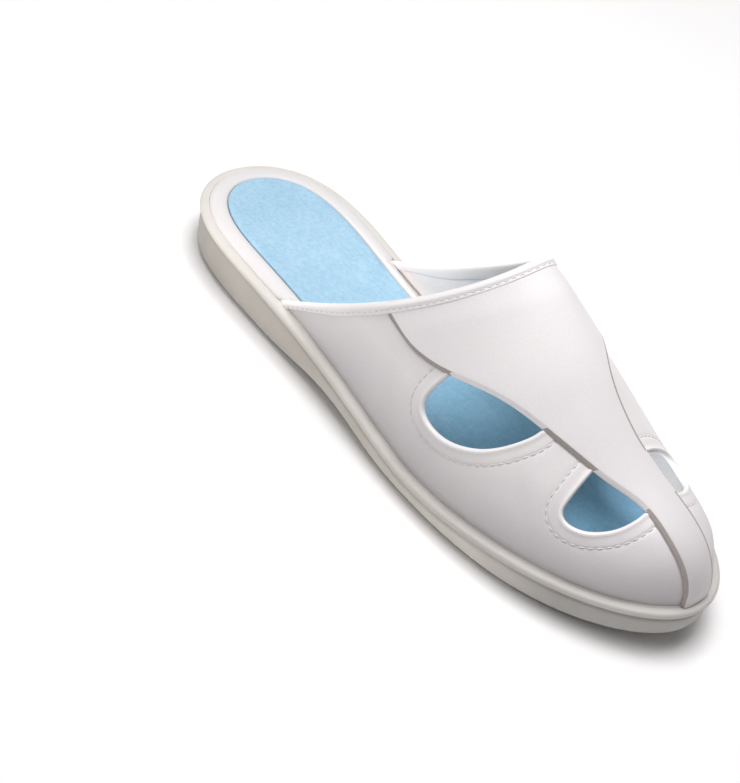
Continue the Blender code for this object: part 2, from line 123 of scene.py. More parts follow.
# round dishes of the tread: station, off the axis, radius
DISHES = (
    (247.0, -4.0, 8.5),
    (232.0, 17.0, 8.0),
    (232.0, -27.0, 8.0),
    (205.0, 27.0, 8.5),
    (180.0, -22.0, 7.5),
    (176.0, 24.0, 8.0),
    (62.0, 14.0, 7.0),
    (62.0, -14.0, 7.0),
    (17.0, 0.0, 6.0),
)
# pivot circles: station, off the axis, inner and outer radius of each groove
PIVOTS = (
    (206.0, -17.0, ((0.0, 4.5), (9.0, 11.6), (16.0, 18.8))),
    (37.0, 0.0, ((0.0, 4.0), (8.5, 11.0))),
)
TREAD_DEPTH = 1.5

# ------------------------------------------------------------------ sizes of the looks
PANEL_TOP = 1.55        # top of the vamp panel over the upper
PANEL_LOW = 0.3
HEM_WIDTH = 6.0         # folded edge round a cut-out
HEM_RISE = 0.16
HEM_NOSE = 1.0
TUCK = 2.9              # side panels run this far under the vamp panel
BAND_WIDTH = 4.4        # collar band
BAND_LIFT = 1.35        # share by which it is thicker over the vamp panel
LOOK_PAD = 11.6         # pad edge from the sole's edge
PIT_STEP = 4.75         # half the pitch of the small tread pits
PIT_RADIUS = 2.55
PIT_DEPTH = 1.25
STITCH_PITCH = 3.1
STITCH_LENGTH = 2.35

# soft troughs of the leather: station, girth from the ridge (outer side plus),
# half-length, half-width, depth, turn in degrees from the shoe's length
CREASES = (
    (150.0, 84.0, 26.0, 5.5, 0.55, 62.0),
    (171.0, 74.0, 22.0, 6.0, 0.45, 40.0),
    (207.0, 12.0, 17.0, 4.5, 0.14, 82.0),
    (214.0, -6.0, 20.0, 5.0, 0.14, 96.0),
    (176.0, 22.0, 24.0, 7.0, 0.16, 74.0),
    (215.0, 47.0, 15.0, 5.0, 0.40, 30.0),
    (243.0, 33.0, 12.0, 4.0, 0.30, 24.0),
    (152.0, -80.0, 26.0, 5.5, 0.50, -60.0),
    (212.0, -44.0, 15.0, 5.0, 0.40, -30.0),
)


# ------------------------------------------------------------------ curves of the form
def spline(xs, ys):
    """Natural cubic spline through the points, as a function."""
    xs = np.asarray(xs, float)
    ys = np.asarray(ys, float)
    n = len(xs)
    h = np.diff(xs)
    a = np.zeros((n, n))
    b = np.zeros(n)
    a[0, 0] = a[-1, -1] = 1.0
    for i in range(1, n - 1):
        a[i, i - 1], a[i, i], a[i, i + 1] = h[i - 1], 2 * (h[i - 1] + h[i]), h[i]
        b[i] = 3 * ((ys[i + 1] - ys[i]) / h[i] - (ys[i] - ys[i - 1]) / h[i - 1])
    c = np.linalg.solve(a, b)

    def curve(x):
        x = np.asarray(x, float)
        i = np.clip(np.searchsorted(xs, x) - 1, 0, n - 2)
        d = x - xs[i]
        slope = (ys[i + 1] - ys[i]) / h[i] - h[i] * (2 * c[i] + c[i + 1]) / 3
        return ys[i] + d * (slope + d * (c[i] + d * (c[i + 1] - c[i]) / (3 * h[i])))

    return curve


def column(rows, i):
    return [r[i] for r in rows]


def smooth(a, b, x):
    t = np.clip((np.asarray(x, float) - a) / (b - a), 0.0, 1.0)
    return t * t * (3 - 2 * t)


outline_bodies = {}


def outline_body(col, inset):
    if (col, inset) not in outline_bodies:
        length = LENGTH - 2 * inset
        qs = [(r[0] * LENGTH - inset) / length for r in OUTLINE]
        ends = [math.sqrt(2 * (rad[col - 1] - inset) * length) / 2
                for rad in (HEEL_RADIUS, TOE_RADIUS)]
        lean = [1.0] * len(OUTLINE)
        if inset > 0:
            at = np.array([r[0] * LENGTH for r in OUTLINE])
            side = 1 if col == 1 else -1
            lean = np.hypot(1.0, half_width(side, at + 0.5) - half_width(side, at - 0.5))
        mids = [(r[col] - inset * k) / (2 * math.sqrt(q * (1 - q)))
                for r, q, k in zip(OUTLINE, qs, lean)]
        outline_bodies[col, inset] = spline([0.0] + qs + [1.0], [ends[0]] + mids + [ends[1]])
    return outline_bodies[col, inset]


def half_width(side, s, inset=0.0):
    q = np.clip((np.asarray(s, float) - inset) / (LENGTH - 2 * inset), 0.0, 1.0)
    return 2 * np.sqrt(q * (1 - q)) * outline_body(1 if side > 0 else 2, inset)(q)


def axis_x(s):
    return -TOE_SWING * np.clip((np.asarray(s, float) / LENGTH - 0.45) / 0.55, 0.0, 1.0) ** 2


def edge_x(side, s, inset=0.0):
    return axis_x(s) + math.copysign(1.0, side) * half_width(side, s, inset)


def rim_z(s):
    q = np.asarray(s, float) / LENGTH
    drop = (RIM_HEEL - RIM_BALL) * smooth(0.18, 0.62, q)
    return RIM_HEEL - drop + (RIM_TOE - RIM_BALL) * np.clip((q - 0.68) / 0.32, 0.0, 1.0) ** 2


def lip_dip(s):
    """How far the lip and the feather line hang under the plain rim at the ball."""
    return 2.4 * np.exp(-((np.asarray(s, float) - 176.0) / 28.0) ** 2)


def ground_z(s):
    s = np.asarray(s, float)
    arch = ARCH_RISE * smooth(78.0, 118.0, s) * (1 - smooth(122.0, 162.0, s))
    toe = TOE_SPRING * np.clip((s - 214.0) / (LENGTH - 214.0), 0.0, 1.0) ** 2
    heel = HEEL_BEVEL * np.clip((14.0 - s) / 14.0, 0.0, 1.0) ** 2
    return arch + toe + heel


UPPER_END = LENGTH - FEATHER
rise_body = spline(
    [v / UPPER_END for v in column(RIDGE, 0)] + [1.0],
    [r[1] / math.sqrt(1 - r[0] / UPPER_END) for r in RIDGE]
    + [math.sqrt(2 * TOE_NOSE * UPPER_END)])
shift_body = spline(column(RIDGE, 0) + [UPPER_END],
                    column(RIDGE, 2) + [float(axis_x(UPPER_END))])
full_body = [spline(column(FULLNESS, 0), column(FULLNESS, i)) for i in (1, 2, 3, 4)]
panel_girth = {side: spline(column(rows, 0), column(rows, 1)) for side, rows in PANEL_EDGE.items()}
strip_width = {1: spline(column(TOE_STRIP, 0), column(TOE_STRIP, 1)),
               -1: spline(column(TOE_STRIP, 0), column(TOE_STRIP, 2))}


def ridge_rise(s):
    q = np.clip(np.asarray(s, float) / UPPER_END, 0.0, 1.0)
    return np.sqrt(1 - q) * rise_body(q)


def ridge_x(s):
    return np.clip(shift_body(s), edge_x(-1, s, FEATHER), edge_x(1, s, FEATHER))


def upper_point(s, t):
    """Outer face of the upper: t is 1 at the outer feather line, 0 on the ridge, -1 inside."""
    s, t = np.broadcast_arrays(np.asarray(s, float), np.asarray(t, float))
    outer = t >= 0
    r = 1 - np.abs(t)
    foot = np.where(outer, edge_x(1, s, FEATHER), edge_x(-1, s, FEATHER))
    top = ridge_x(s)
    low = np.where(outer, full_body[0](s), full_body[2](s))
    high = np.where(outer, full_body[1](s), full_body[3](s))
    x = foot * (1 - r) ** 2 * (1 + 2 * r) + 3 * (top + high * (foot - top)) * r * r * (1 - r) + top * r ** 3
    z = rim_z(s) + ridge_rise(s) * (3 * low * r * (1 - r) ** 2 + 3 * r * r * (1 - r) + r ** 3)
    z = z - lip_dip(s) * (1 - r) ** 8
    return np.stack([x, s, z], -1)


def upper_frame(s, t):
    """Point, derivative along s, derivative along t, outward normal."""
    s, t = np.broadcast_arrays(np.asarray(s, float), np.asarray(t, float))
    ds, dt = 0.02, 1e-4
    s1 = np.minimum(s, UPPER_END - 2 * ds)
    t1 = np.clip(t, -1 + 2 * dt, 1 - 2 * dt)
    along = (upper_point(s1 + ds, t1) - upper_point(s1 - ds, t1)) / (2 * ds)
    across = (upper_point(s1, t1 + dt) - upper_point(s1, t1 - dt)) / (2 * dt)
    n = np.cross(across, along)
    n = n / np.linalg.norm(n, axis=-1, keepdims=True)
    return upper_point(s, t), along, across, n


def collar_s(t):
    return COLLAR_SIDE + (COLLAR_TOP - COLLAR_SIDE) * (1 - np.abs(t) ** COLLAR_POWER)


# tables of the distance along each section, from the ridge down to the feather line
S_ROWS = 78.0 + (UPPER_END - 0.02 - 78.0) * np.sin(np.linspace(0, 1, 500) * np.pi / 2)
T_ROWS = np.linspace(0.0, 1.0, 121)
GIRTH = {}
T_OF = {}
for side in (1, -1):
    pts = upper_point(S_ROWS[:, None], side * T_ROWS[None, :])
    run = np.cumsum(np.linalg.norm(np.diff(pts, axis=1), axis=2), axis=1)
    run = np.concatenate([np.zeros((len(S_ROWS), 1)), run], axis=1)
    GIRTH[side] = run
    T_OF[side] = np.stack([np.interp(T_ROWS * r[-1], r, T_ROWS) for r in run])


def table_at(table, s, q):
    """Bilinear value of a table over S_ROWS and T_ROWS."""
    s, q = np.broadcast_arrays(np.asarray(s, float), np.asarray(q, float))
    f = np.interp(s, S_ROWS, np.arange(len(S_ROWS)))
    i = np.clip(f.astype(int), 0, len(S_ROWS) - 2)
    a = f - i
    g = np.clip(q, 0.0, 1.0) * (len(T_ROWS) - 1)
    j = np.clip(g.astype(int), 0, len(T_ROWS) - 2)
    b = g - j
    return ((1 - a) * ((1 - b) * table[i, j] + b * table[i, j + 1])
            + a * ((1 - b) * table[i + 1, j] + b * table[i + 1, j + 1]))


def full_girth(side, s):
    return np.interp(s, S_ROWS, GIRTH[side][:, -1])


def girth_of(side, s, t):
    """Distance along the section from the ridge."""
    return table_at(GIRTH[side], s, np.abs(t))


def t_of_girth(side, s, g):
    return side * table_at(T_OF[side], s, np.asarray(g, float) / full_girth(side, s))


def t_at_x(s, x):
    s, x = np.broadcast_arrays(np.asarray(s, float), np.asarray(x, float))
    lo, hi = np.full(s.shape, -1.0), np.full(s.shape, 1.0)
    for _ in range(36):
        m = (lo + hi) / 2
        below = upper_point(s, m)[..., 0] < x
        lo, hi = np.where(below, m, lo), np.where(below, hi, m)
    return (lo + hi) / 2


def panel_t(v, s):
    """Section parameter across the vamp panel: v is 1 on its outer edge, -1 on its inner edge."""
    v, s = np.broadcast_arrays(np.asarray(v, float), np.asarray(s, float))
    outer = v >= 0
    g1 = t_of_girth(1, s, panel_girth[1](s))
    g2 = t_of_girth(-1, s, panel_girth[-1](s))
    by_girth = np.abs(v) * np.where(outer, g1, g2)
    strip = np.where(outer, strip_width[1](s), strip_width[-1](s))
    w = smooth(222.0, 248.0, s)
    if not np.any(w > 0):
        return by_girth
    by_plan = t_at_x(s, shift_body(s) + v * strip)
    return (1 - w) * by_girth + w * by_plan


def solve(f, lo, hi):
    for _ in range(44):
        m = (lo + hi) / 2
        if f(m) < 0:
            lo = m
        else:
            hi = m
    return (lo + hi) / 2


def strip_end(v):
    """Station where a column of the panel meets the feather line at the toe."""
    side = 1 if v >= 0 else -1

    def outside(s):
        x = float(shift_body(s) + v * strip_width[side](s))
        return max(x - float(edge_x(1, s, FEATHER)), float(edge_x(-1, s, FEATHER)) - x)

    return solve(outside, 255.0, UPPER_END)


SEAM_END = {side: strip_end(side) for side in (1, -1)}
SEAM_START = {side: solve(lambda s: s - float(collar_s(panel_t(side, s))), COLLAR_SIDE + 1, COLLAR_TOP + 1)
              for side in (1, -1)}
SEAM_S = {side: np.linspace(SEAM_START[side], SEAM_END[side], 500) for side in (1, -1)}
SEAM_G = {side: girth_of(side, SEAM_S[side], panel_t(side, SEAM_S[side])) for side in (1, -1)}


def seam_girth(side, s):
    """Distance from the ridge down to the panel's edge."""
    return np.interp(s, SEAM_S[side], SEAM_G[side])


s_all = np.linspace(0.0, LENGTH, 801)
CENTRE_X = float((edge_x(1, s_all).max() + edge_x(-1, s_all).min()) / 2)


def placed(p):
    p = np.asarray(p, float)
    return np.stack([-(p[..., 0] - CENTRE_X), LENGTH / 2 - p[..., 1], p[..., 2]], -1) * MM


def turned(d):
    """A direction in shoe coordinates, in the part's frame."""
    return Vector((-d[0], -d[1], d[2]))


# ------------------------------------------------------------------ soft relief of the leather
def creases(s, g):
    """Soft troughs at a station and a signed girth from the ridge."""
    s, g = np.broadcast_arrays(np.asarray(s, float), np.asarray(g, float))
    out = np.zeros(s.shape)
    for s0, g0, length, width, depth, turn in CREASES:
        c, d = math.cos(math.radians(turn)), math.sin(math.radians(turn))
        a = (s - s0) * c + (g - g0) * d
        b = -(s - s0) * d + (g - g0) * c
        fade = np.exp(-(a / length) ** 2 * 1.6)
        out += depth * fade * (0.42 * np.exp(-((np.abs(b) - 1.9 * width) / width) ** 2)
                               - np.exp(-(b / width) ** 2))
    rolling = (0.10 * np.sin(s / 11.0 + 0.6 * np.sin(g / 17.0)) * np.sin(g / 13.0 + 1.0)
               + 0.05 * np.sin(s / 5.3 + g / 9.0))
    return out + rolling * smooth(276.0, 255.0, s)


# ------------------------------------------------------------------ mesh helpers
def piece(name, verts, faces, materials, indices=None, stands_for=()):
    mesh = bpy.data.meshes.new(name)
    mesh.from_pydata([tuple(v) for v in placed(np.asarray(verts))], [], [tuple(int(i) for i in f) for f in faces])
    for m in materials:
        mesh.materials.append(m)
    if indices is not None:
        mesh.polygons.foreach_set("material_index", np.asarray(indices, np.int32))
    bm = bmesh.new()
    bm.from_mesh(mesh)
    bmesh.ops.remove_doubles(bm, verts=bm.verts, dist=1e-6)
    bmesh.ops.dissolve_degenerate(bm, edges=bm.edges, dist=1e-6)
    bmesh.ops.delete(bm, geom=[v for v in bm.verts if not v.link_faces], context="VERTS")
    bmesh.ops.recalc_face_normals(bm, faces=bm.faces)
    bm.to_mesh(mesh)
    bm.free()
    mesh.shade_smooth()
    obj = bpy.data.objects.new(name, mesh)
    bpy.context.scene.collection.objects.link(obj)
    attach(obj, "root")
    if stands_for:
        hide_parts(*stands_for)
    return obj


def ring(inset, height, half=220):
    """Closed ring square to the outline: outer half heel to toe, inner half back."""
    base = FEATHER if inset >= LIP_WIDTH else 0.0
    u = np.linspace(0.0, 1.0, half + 1)
    s = base + (LENGTH - 2 * base) * (1 - np.cos(np.pi * u)) / 2
    outer = np.stack([edge_x(1, s, base), s], -1)
    inner = np.stack([edge_x(-1, s, base), s], -1)
    pts = np.concatenate([outer, inner[1:-1][::-1]])
    along = np.roll(pts, -1, axis=0) - np.roll(pts, 1, axis=0)
    along /= np.linalg.norm(along, axis=1, keepdims=True)
    pts = pts + (inset - base) * np.stack([-along[:, 1], along[:, 0]], -1)
    return np.concatenate([pts, height(pts[:, 1])[:, None]], axis=1)


def blend_rings(heel_ring, fore_ring):
    w = smooth(COLLAR_SIDE - 1.8, COLLAR_SIDE + 1.0, heel_ring[:, 1])[:, None]
    return heel_ring * (1 - w) + fore_ring * w


def loft(rings):
    n = len(rings[0])
    faces = []
    for k in range(len(rings) - 1):
        for i in range(n):
            j = (i + 1) % n
            faces.append((k * n + i, k * n + j, (k + 1) * n + j, (k + 1) * n + i))
    return faces


def strip_cap(base, n):
    """Faces that close a ring by strips from one half to the other."""
    faces = [(base + i, base + i + 1, base + n - i - 1, base + n - i) for i in range(1, n // 2 - 1)]
    return faces + [(base, base + 1, base + n - 1), (base + n // 2 - 1, base + n // 2, base + n // 2 + 1)]


def inside(points, polygon):
    """Which points lie inside a closed polygon."""
    x, y = points[:, 0], points[:, 1]
    hit = np.zeros(len(points), bool)
    a = polygon
    b = np.roll(polygon, -1, axis=0)
    for (x0, y0), (x1, y1) in zip(a, b):
        if y0 == y1:
            continue
        cross = (y0 > y) != (y1 > y)
        hit ^= cross & (x < (x1 - x0) * (y - y0) / (y1 - y0) + x0)
    return hit


def distance(points, line, closed=False):
    """Distance from points to a polyline, in any number of dimensions."""
    a = line if closed else line[:-1]
    b = np.roll(line, -1, axis=0) if closed else line[1:]
    best = np.full(len(points), 1e9)
    for p, q in zip(a, b):
        d = q - p
        k = np.clip(((points - p) @ d) / max(d @ d, 1e-12), 0.0, 1.0)
        best = np.minimum(best, ((points - p - k[:, None] * d) ** 2).sum(1))
    return np.sqrt(best)


def spaced(line, step, closed=False):
    """A polyline resampled at an even step."""
    pts = np.concatenate([line, line[:1]]) if closed else line
    run = np.concatenate([[0.0], np.cumsum(np.linalg.norm(np.diff(pts, axis=0), axis=1))])
    n = max(2, int(round(run[-1] / step)))
    at = np.linspace(0.0, run[-1], n + 1)
    out = np.stack([np.interp(at, run, pts[:, k]) for k in range(pts.shape[1])], -1)
    return out[:-1] if closed else out


def triangles_of(points, edges, keep):
    """Constrained Delaunay triangles of 2D points; keep(centres) says which stay."""
    verts, _, faces, origin, _, _ = delaunay_2d_cdt(
        [Vector((float(p[0]), float(p[1]))) for p in points],
        [(int(a), int(b)) for a, b in edges], [], 0, 1e-6, True)
    verts = np.array([(v[0], v[1]) for v in verts])
    faces = np.array([f for f in faces if len(f) == 3], int)
    faces = faces[keep(verts[faces].mean(1))]
    return verts, faces, origin


# ------------------------------------------------------------------ materials
def tree(name):
    mat = bpy.data.materials.new(name)
    mat.use_nodes = True
    nt = mat.node_tree
    return mat, nt, nt.nodes["Principled BSDF"]


def put(nt, socket, value):
    if isinstance(value, bpy.types.NodeSocket):
        nt.links.new(value, socket)
    else:
        socket.default_value = value


def math_node(nt, op, a, b=0.0, clamp=False):
    n = nt.nodes.new("ShaderNodeMath")
    n.operation = op
    n.use_clamp = clamp
    put(nt, n.inputs[0], a)
    put(nt, n.inputs[1], b)
    return n.outputs[0]


def coords(nt, scale=(1000.0, 1000.0, 1000.0), rotation=0.0):
    """Object coordinates in millimetres, turned about Z."""
    tc = nt.nodes.new("ShaderNodeTexCoord")
    mp = nt.nodes.new("ShaderNodeMapping")
    mp.inputs["Scale"].default_value = scale
    mp.inputs["Rotation"].default_value = (0.0, 0.0, rotation)
    nt.links.new(tc.outputs["Object"], mp.inputs["Vector"])
    return mp.outputs["Vector"]


def noise(nt, vector, scale, detail=3.0, rough=0.55):
    n = nt.nodes.new("ShaderNodeTexNoise")
    put(nt, n.inputs["Vector"], vector)
    n.inputs["Scale"].default_value = scale
    n.inputs["Detail"].default_value = detail
    n.inputs["Roughness"].default_value = rough
    return n.outputs["Fac"]


def cells(nt, vector, scale, feature="F1"):
    n = nt.nodes.new("ShaderNodeTexVoronoi")
    n.feature = feature
    put(nt, n.inputs["Vector"], vector)
    n.inputs["Scale"].default_value = scale
    return n.outputs["Distance"]


def ramp(nt, fac, stops):
    n = nt.nodes.new("ShaderNodeValToRGB")
    els = n.color_ramp.elements
    while len(els) < len(stops):
        els.new(0.5)
    for e, (pos, col) in zip(els, stops):
        e.position = pos
        e.color = (*col, 1.0)
    put(nt, n.inputs["Fac"], fac)
    return n.outputs["Color"]


def span(nt, fac, lo, hi):
    """Map a 0 to 1 value to a range."""
    n = nt.nodes.new("ShaderNodeMapRange")
    put(nt, n.inputs["Value"], fac)
    n.inputs["From Min"].default_value = 0.0
    n.inputs["From Max"].default_value = 1.0
    n.inputs["To Min"].default_value = lo
    n.inputs["To Max"].default_value = hi
    return n.outputs["Result"]


def bump(nt, height, strength, distance_mm, normal=None):
    n = nt.nodes.new("ShaderNodeBump")
    n.inputs["Strength"].default_value = strength
    n.inputs["Distance"].default_value = distance_mm * MM
    put(nt, n.inputs["Height"], height)
    if normal is not None:
        put(nt, n.inputs["Normal"], normal)
    return n.outputs["Normal"]


def mixed(nt, fac, a, b, mode="MIX"):
    n = nt.nodes.new("ShaderNodeMix")
    n.data_type = "RGBA"
    n.blend_type = mode
    put(nt, n.inputs["Factor"], fac)
    put(nt, n.inputs[6], a if isinstance(a, bpy.types.NodeSocket) else (*a, 1.0))
    put(nt, n.inputs[7], b if isinstance(b, bpy.types.NodeSocket) else (*b, 1.0))
    return n.outputs[2]


def graded(nt, v, tone, grades):
    """Tone that greys along an axis: each grade is (axis, start, end, share left at the end)."""
    for axis, start, end, share in grades:
        sep = nt.nodes.new("ShaderNodeSeparateXYZ")
        nt.links.new(v, sep.inputs[0])
        fac = math_node(nt, "MULTIPLY", math_node(nt, "SUBTRACT", sep.outputs[axis], start), 1.0 / (end - start), True)
        tone = mixed(nt, fac, tone, mixed(nt, 1.0, tone, share, "MULTIPLY"))
    return tone


def leather(name, warm, cool, rough=0.42, grain=1.0, grades=()):
    """White coated leather: fine pebble grain, soft sheen, faint tone drift."""
    mat, nt, bsdf = tree(name)
    v = coords(nt)
    drift = noise(nt, v, 0.030, 4.0)
    tone = graded(nt, v, ramp(nt, drift, ((0.36, cool), (0.64, warm))), grades)
    pores = cells(nt, v, 1.25)
    fine = noise(nt, v, 2.6, 2.0)
    shade = span(nt, pores, 0.965, 1.01)
    put(nt, bsdf.inputs["Base Color"], mixed(nt, 1.0, tone, shade, "MULTIPLY"))
    put(nt, bsdf.inputs["Roughness"], span(nt, noise(nt, v, 0.11, 3.0), rough - 0.05, rough + 0.08))
    first = bump(nt, pores, 0.10 * grain, 0.22)
    second = bump(nt, fine, 0.07 * grain, 0.20, first)
    put(nt, bsdf.inputs["Normal"], second)
    bsdf.inputs["Specular IOR Level"].default_value = 0.42
    bsdf.inputs["Coat Weight"].default_value = 0.06
    bsdf.inputs["Coat Roughness"].default_value = 0.35
    return mat


def lining_cloth(name):
    """Pale grey lining with a fine plain weave."""
    mat, nt, bsdf = tree(name)
    v = coords(nt)
    sep = nt.nodes.new("ShaderNodeSeparateXYZ")
    nt.links.new(v, sep.inputs[0])
    a = math_node(nt, "SINE", math_node(nt, "MULTIPLY", sep.outputs[1], 6.6))
    b = math_node(nt, "SINE", math_node(nt, "MULTIPLY", math_node(nt, "ADD", sep.outputs[0], sep.outputs[2]), 6.6))
    weave = math_node(nt, "MULTIPLY", a, b)
    tone = ramp(nt, noise(nt, v, 0.05, 3.0), ((0.3, (0.85, 0.80, 0.775)), (0.7, (0.89, 0.84, 0.815))))
    put(nt, bsdf.inputs["Base Color"], mixed(nt, 1.0, tone, span(nt, weave, 0.97, 1.03), "MULTIPLY"))
    put(nt, bsdf.inputs["Roughness"], span(nt, noise(nt, v, 0.4), 0.82, 0.95))
    put(nt, bsdf.inputs["Normal"], bump(nt, weave, 0.18, 0.12))
    bsdf.inputs["Sheen Weight"].default_value = 0.15
    bsdf.inputs["Specular IOR Level"].default_value = 0.25
    return mat


def sole_rubber(name, dark, middle, light, grades):
    """Cream moulded sole: satin skin, faint mottling, fine mould grain."""
    mat, nt, bsdf = tree(name)
    v = coords(nt)
    tone = ramp(nt, noise(nt, v, 0.045, 5.0), ((0.30, dark), (0.55, middle), (0.75, light)))
    tone = graded(nt, v, tone, grades)
    speck = noise(nt, v, 1.1, 4.0, 0.7)
    put(nt, bsdf.inputs["Base Color"], mixed(nt, 1.0, tone, span(nt, speck, 0.955, 1.03), "MULTIPLY"))
    put(nt, bsdf.inputs["Roughness"], span(nt, noise(nt, v, 0.2, 3.0), 0.46, 0.62))
    put(nt, bsdf.inputs["Normal"], bump(nt, speck, 0.10, 0.18))
    bsdf.inputs["Specular IOR Level"].default_value = 0.4
    return mat


def pad_weave(name):
    """Sky-blue woven cover: diagonal net of raised cells over fine lengthwise ribs."""
    mat, nt, bsdf = tree(name)
    v = coords(nt)
    wob = noise(nt, v, 0.16, 2.0)
    sep = nt.nodes.new("ShaderNodeSeparateXYZ")
    nt.links.new(v, sep.inputs[0])
    x = math_node(nt, "ADD", sep.outputs[0], math_node(nt, "MULTIPLY", wob, 2.0))
    y = math_node(nt, "ADD", sep.outputs[1], math_node(nt, "MULTIPLY", wob, 1.5))
    pitch = 2.05
    k = math.pi / pitch
    a = math_node(nt, "SINE", math_node(nt, "MULTIPLY", math_node(nt, "ADD", x, y), k))
    b = math_node(nt, "SINE", math_node(nt, "MULTIPLY", math_node(nt, "SUBTRACT", x, y), k))
    net = math_node(nt, "MULTIPLY", a, b)
    cell = math_node(nt, "MULTIPLY", math_node(nt, "ADD", net, 1.0), 0.5)
    rib = math_node(nt, "SINE", math_node(nt, "MULTIPLY", x, 2 * math.pi / 0.62))
    yarn = math_node(nt, "SINE", math_node(nt, "MULTIPLY", y, 2 * math.pi / 0.62))
    thread = math_node(nt, "MULTIPLY", rib, yarn)
    fuzz = noise(nt, v, 0.48, 4.0, 0.68)
    streak = noise(nt, coords(nt, (800.0, 110.0, 800.0)), 1.0, 3.0, 0.6)
    height = math_node(nt, "ADD", math_node(nt, "MULTIPLY", cell, 0.4), math_node(nt, "MULTIPLY", thread, 0.12))
    height = math_node(nt, "ADD", height, math_node(nt, "MULTIPLY", fuzz, 1.2))
    tone = ramp(nt, noise(nt, v, 0.05, 4.0), ((0.32, (0.375, 0.585, 0.74)), (0.68, (0.425, 0.63, 0.78))))
    # painted shade: under the vamp the blue is painted deeper, and it lightens towards the open heel
    heel = math_node(nt, "ADD", math_node(nt, "MULTIPLY", sep.outputs[1], 1 / 90.0), 0.40, True)
    tone = mixed(nt, heel, mixed(nt, 1.0, tone, (0.57, 0.735, 0.80), "MULTIPLY"), tone)
    low = mixed(nt, 1.0, tone, (0.72, 0.83, 0.89), "MULTIPLY")
    light = math_node(nt, "MULTIPLY", math_node(nt, "SUBTRACT", cell, 0.5), 0.12)
    light = math_node(nt, "ADD", light, math_node(nt, "MULTIPLY", math_node(nt, "SUBTRACT", fuzz, 0.5), 2.4))
    light = math_node(nt, "ADD", light, math_node(nt, "MULTIPLY", math_node(nt, "SUBTRACT", streak, 0.5), 0.9))
    put(nt, bsdf.inputs["Base Color"], mixed(nt, math_node(nt, "ADD", light, 0.66, True), low, tone))
    put(nt, bsdf.inputs["Roughness"], span(nt, fuzz, 0.78, 0.95))
    put(nt, bsdf.inputs["Normal"], bump(nt, height, 0.5, 0.36))
    bsdf.inputs["Sheen Weight"].default_value = 0.25
    bsdf.inputs["Sheen Roughness"].default_value = 0.5
    bsdf.inputs["Specular IOR Level"].default_value = 0.2
    return mat


def thread_yarn(name):
    mat, nt, bsdf = tree(name)
    v = coords(nt)
    tone = ramp(nt, noise(nt, v, 1.3, 2.0), ((0.3, (0.715, 0.69, 0.695)), (0.7, (0.785, 0.76, 0.765))))
    put(nt, bsdf.inputs["Base Color"], tone)
    put(nt, bsdf.inputs["Roughness"], span(nt, noise(nt, v, 3.0), 0.55, 0.75))
    put(nt, bsdf.inputs["Normal"], bump(nt, noise(nt, v, 4.0, 1.0), 0.3, 0.1))
    return mat


def cut_edge(name):
    """Raw edge of the coated leather: grey-brown backing with a fibrous look."""
    mat, nt, bsdf = tree(name)
    v = coords(nt)
    fibre = noise(nt, v, 1.9, 4.0, 0.7)
    put(nt, bsdf.inputs["Base Color"], ramp(nt, fibre, ((0.3, (0.36, 0.32, 0.30)), (0.7, (0.50, 0.455, 0.43)))))
    put(nt, bsdf.inputs["Roughness"], span(nt, fibre, 0.85, 1.0))
    put(nt, bsdf.inputs["Normal"], bump(nt, fibre, 0.5, 0.15))
    bsdf.inputs["Specular IOR Level"].default_value = 0.15
    return mat


# painted shade: the side leather is whitest high up and is painted darker towards the feather line and the toe, and the
# panel leather is painted darker towards the toe
SIDE_LEATHER = leather("side_leather", (0.925, 0.888, 0.890), (0.908, 0.878, 0.884),
                       grades=((2, 44.0, 15.0, (0.62, 0.612, 0.618)), (1, -60.0, -125.0, (0.90, 0.895, 0.905))))
PANEL_LEATHER = leather("panel_leather", (0.925, 0.894, 0.900), (0.910, 0.884, 0.892),
                        grades=((1, -50.0, -130.0, (0.80, 0.79, 0.80)),))
BAND_LEATHER = leather("band_leather", (0.940, 0.910, 0.914), (0.925, 0.900, 0.906), 0.45)
BORDER_LEATHER = leather("border_leather", (0.755, 0.735, 0.737), (0.738, 0.726, 0.732), 0.48)
LINING = lining_cloth("lining")
# painted shade and light on the wall and the tread: a darker copy of the cream rubber, painted darker towards the heel,
# a fifth lighter forward of the waist and darker again towards the toe
SHADED_RUBBER = sole_rubber("sole_rubber", (0.610, 0.568, 0.510), (0.645, 0.607, 0.552), (0.672, 0.640, 0.590),
                     ((1, 25.0, 105.0, (0.76, 0.76, 0.77)), (1, 0.0, -45.0, (1.20, 1.20, 1.22)),
                      (1, -72.0, -104.0, (0.64, 0.65, 0.67))))
# the lip's lighter copy of the rubber, painted darker towards the toe as shade
LIP_RUBBER = sole_rubber("lip_rubber", (0.672, 0.640, 0.600), (0.700, 0.672, 0.636), (0.718, 0.694, 0.665),
                         ((1, 10.0, -70.0, (0.86, 0.86, 0.87)),))
WEAVE = pad_weave("pad_weave")
THREAD = thread_yarn("thread")
# the raw edge's grey-brown, also used as painted shadow along the vamp panel's seams
CUT_EDGE_AND_SHADOW = cut_edge("cut_edge")


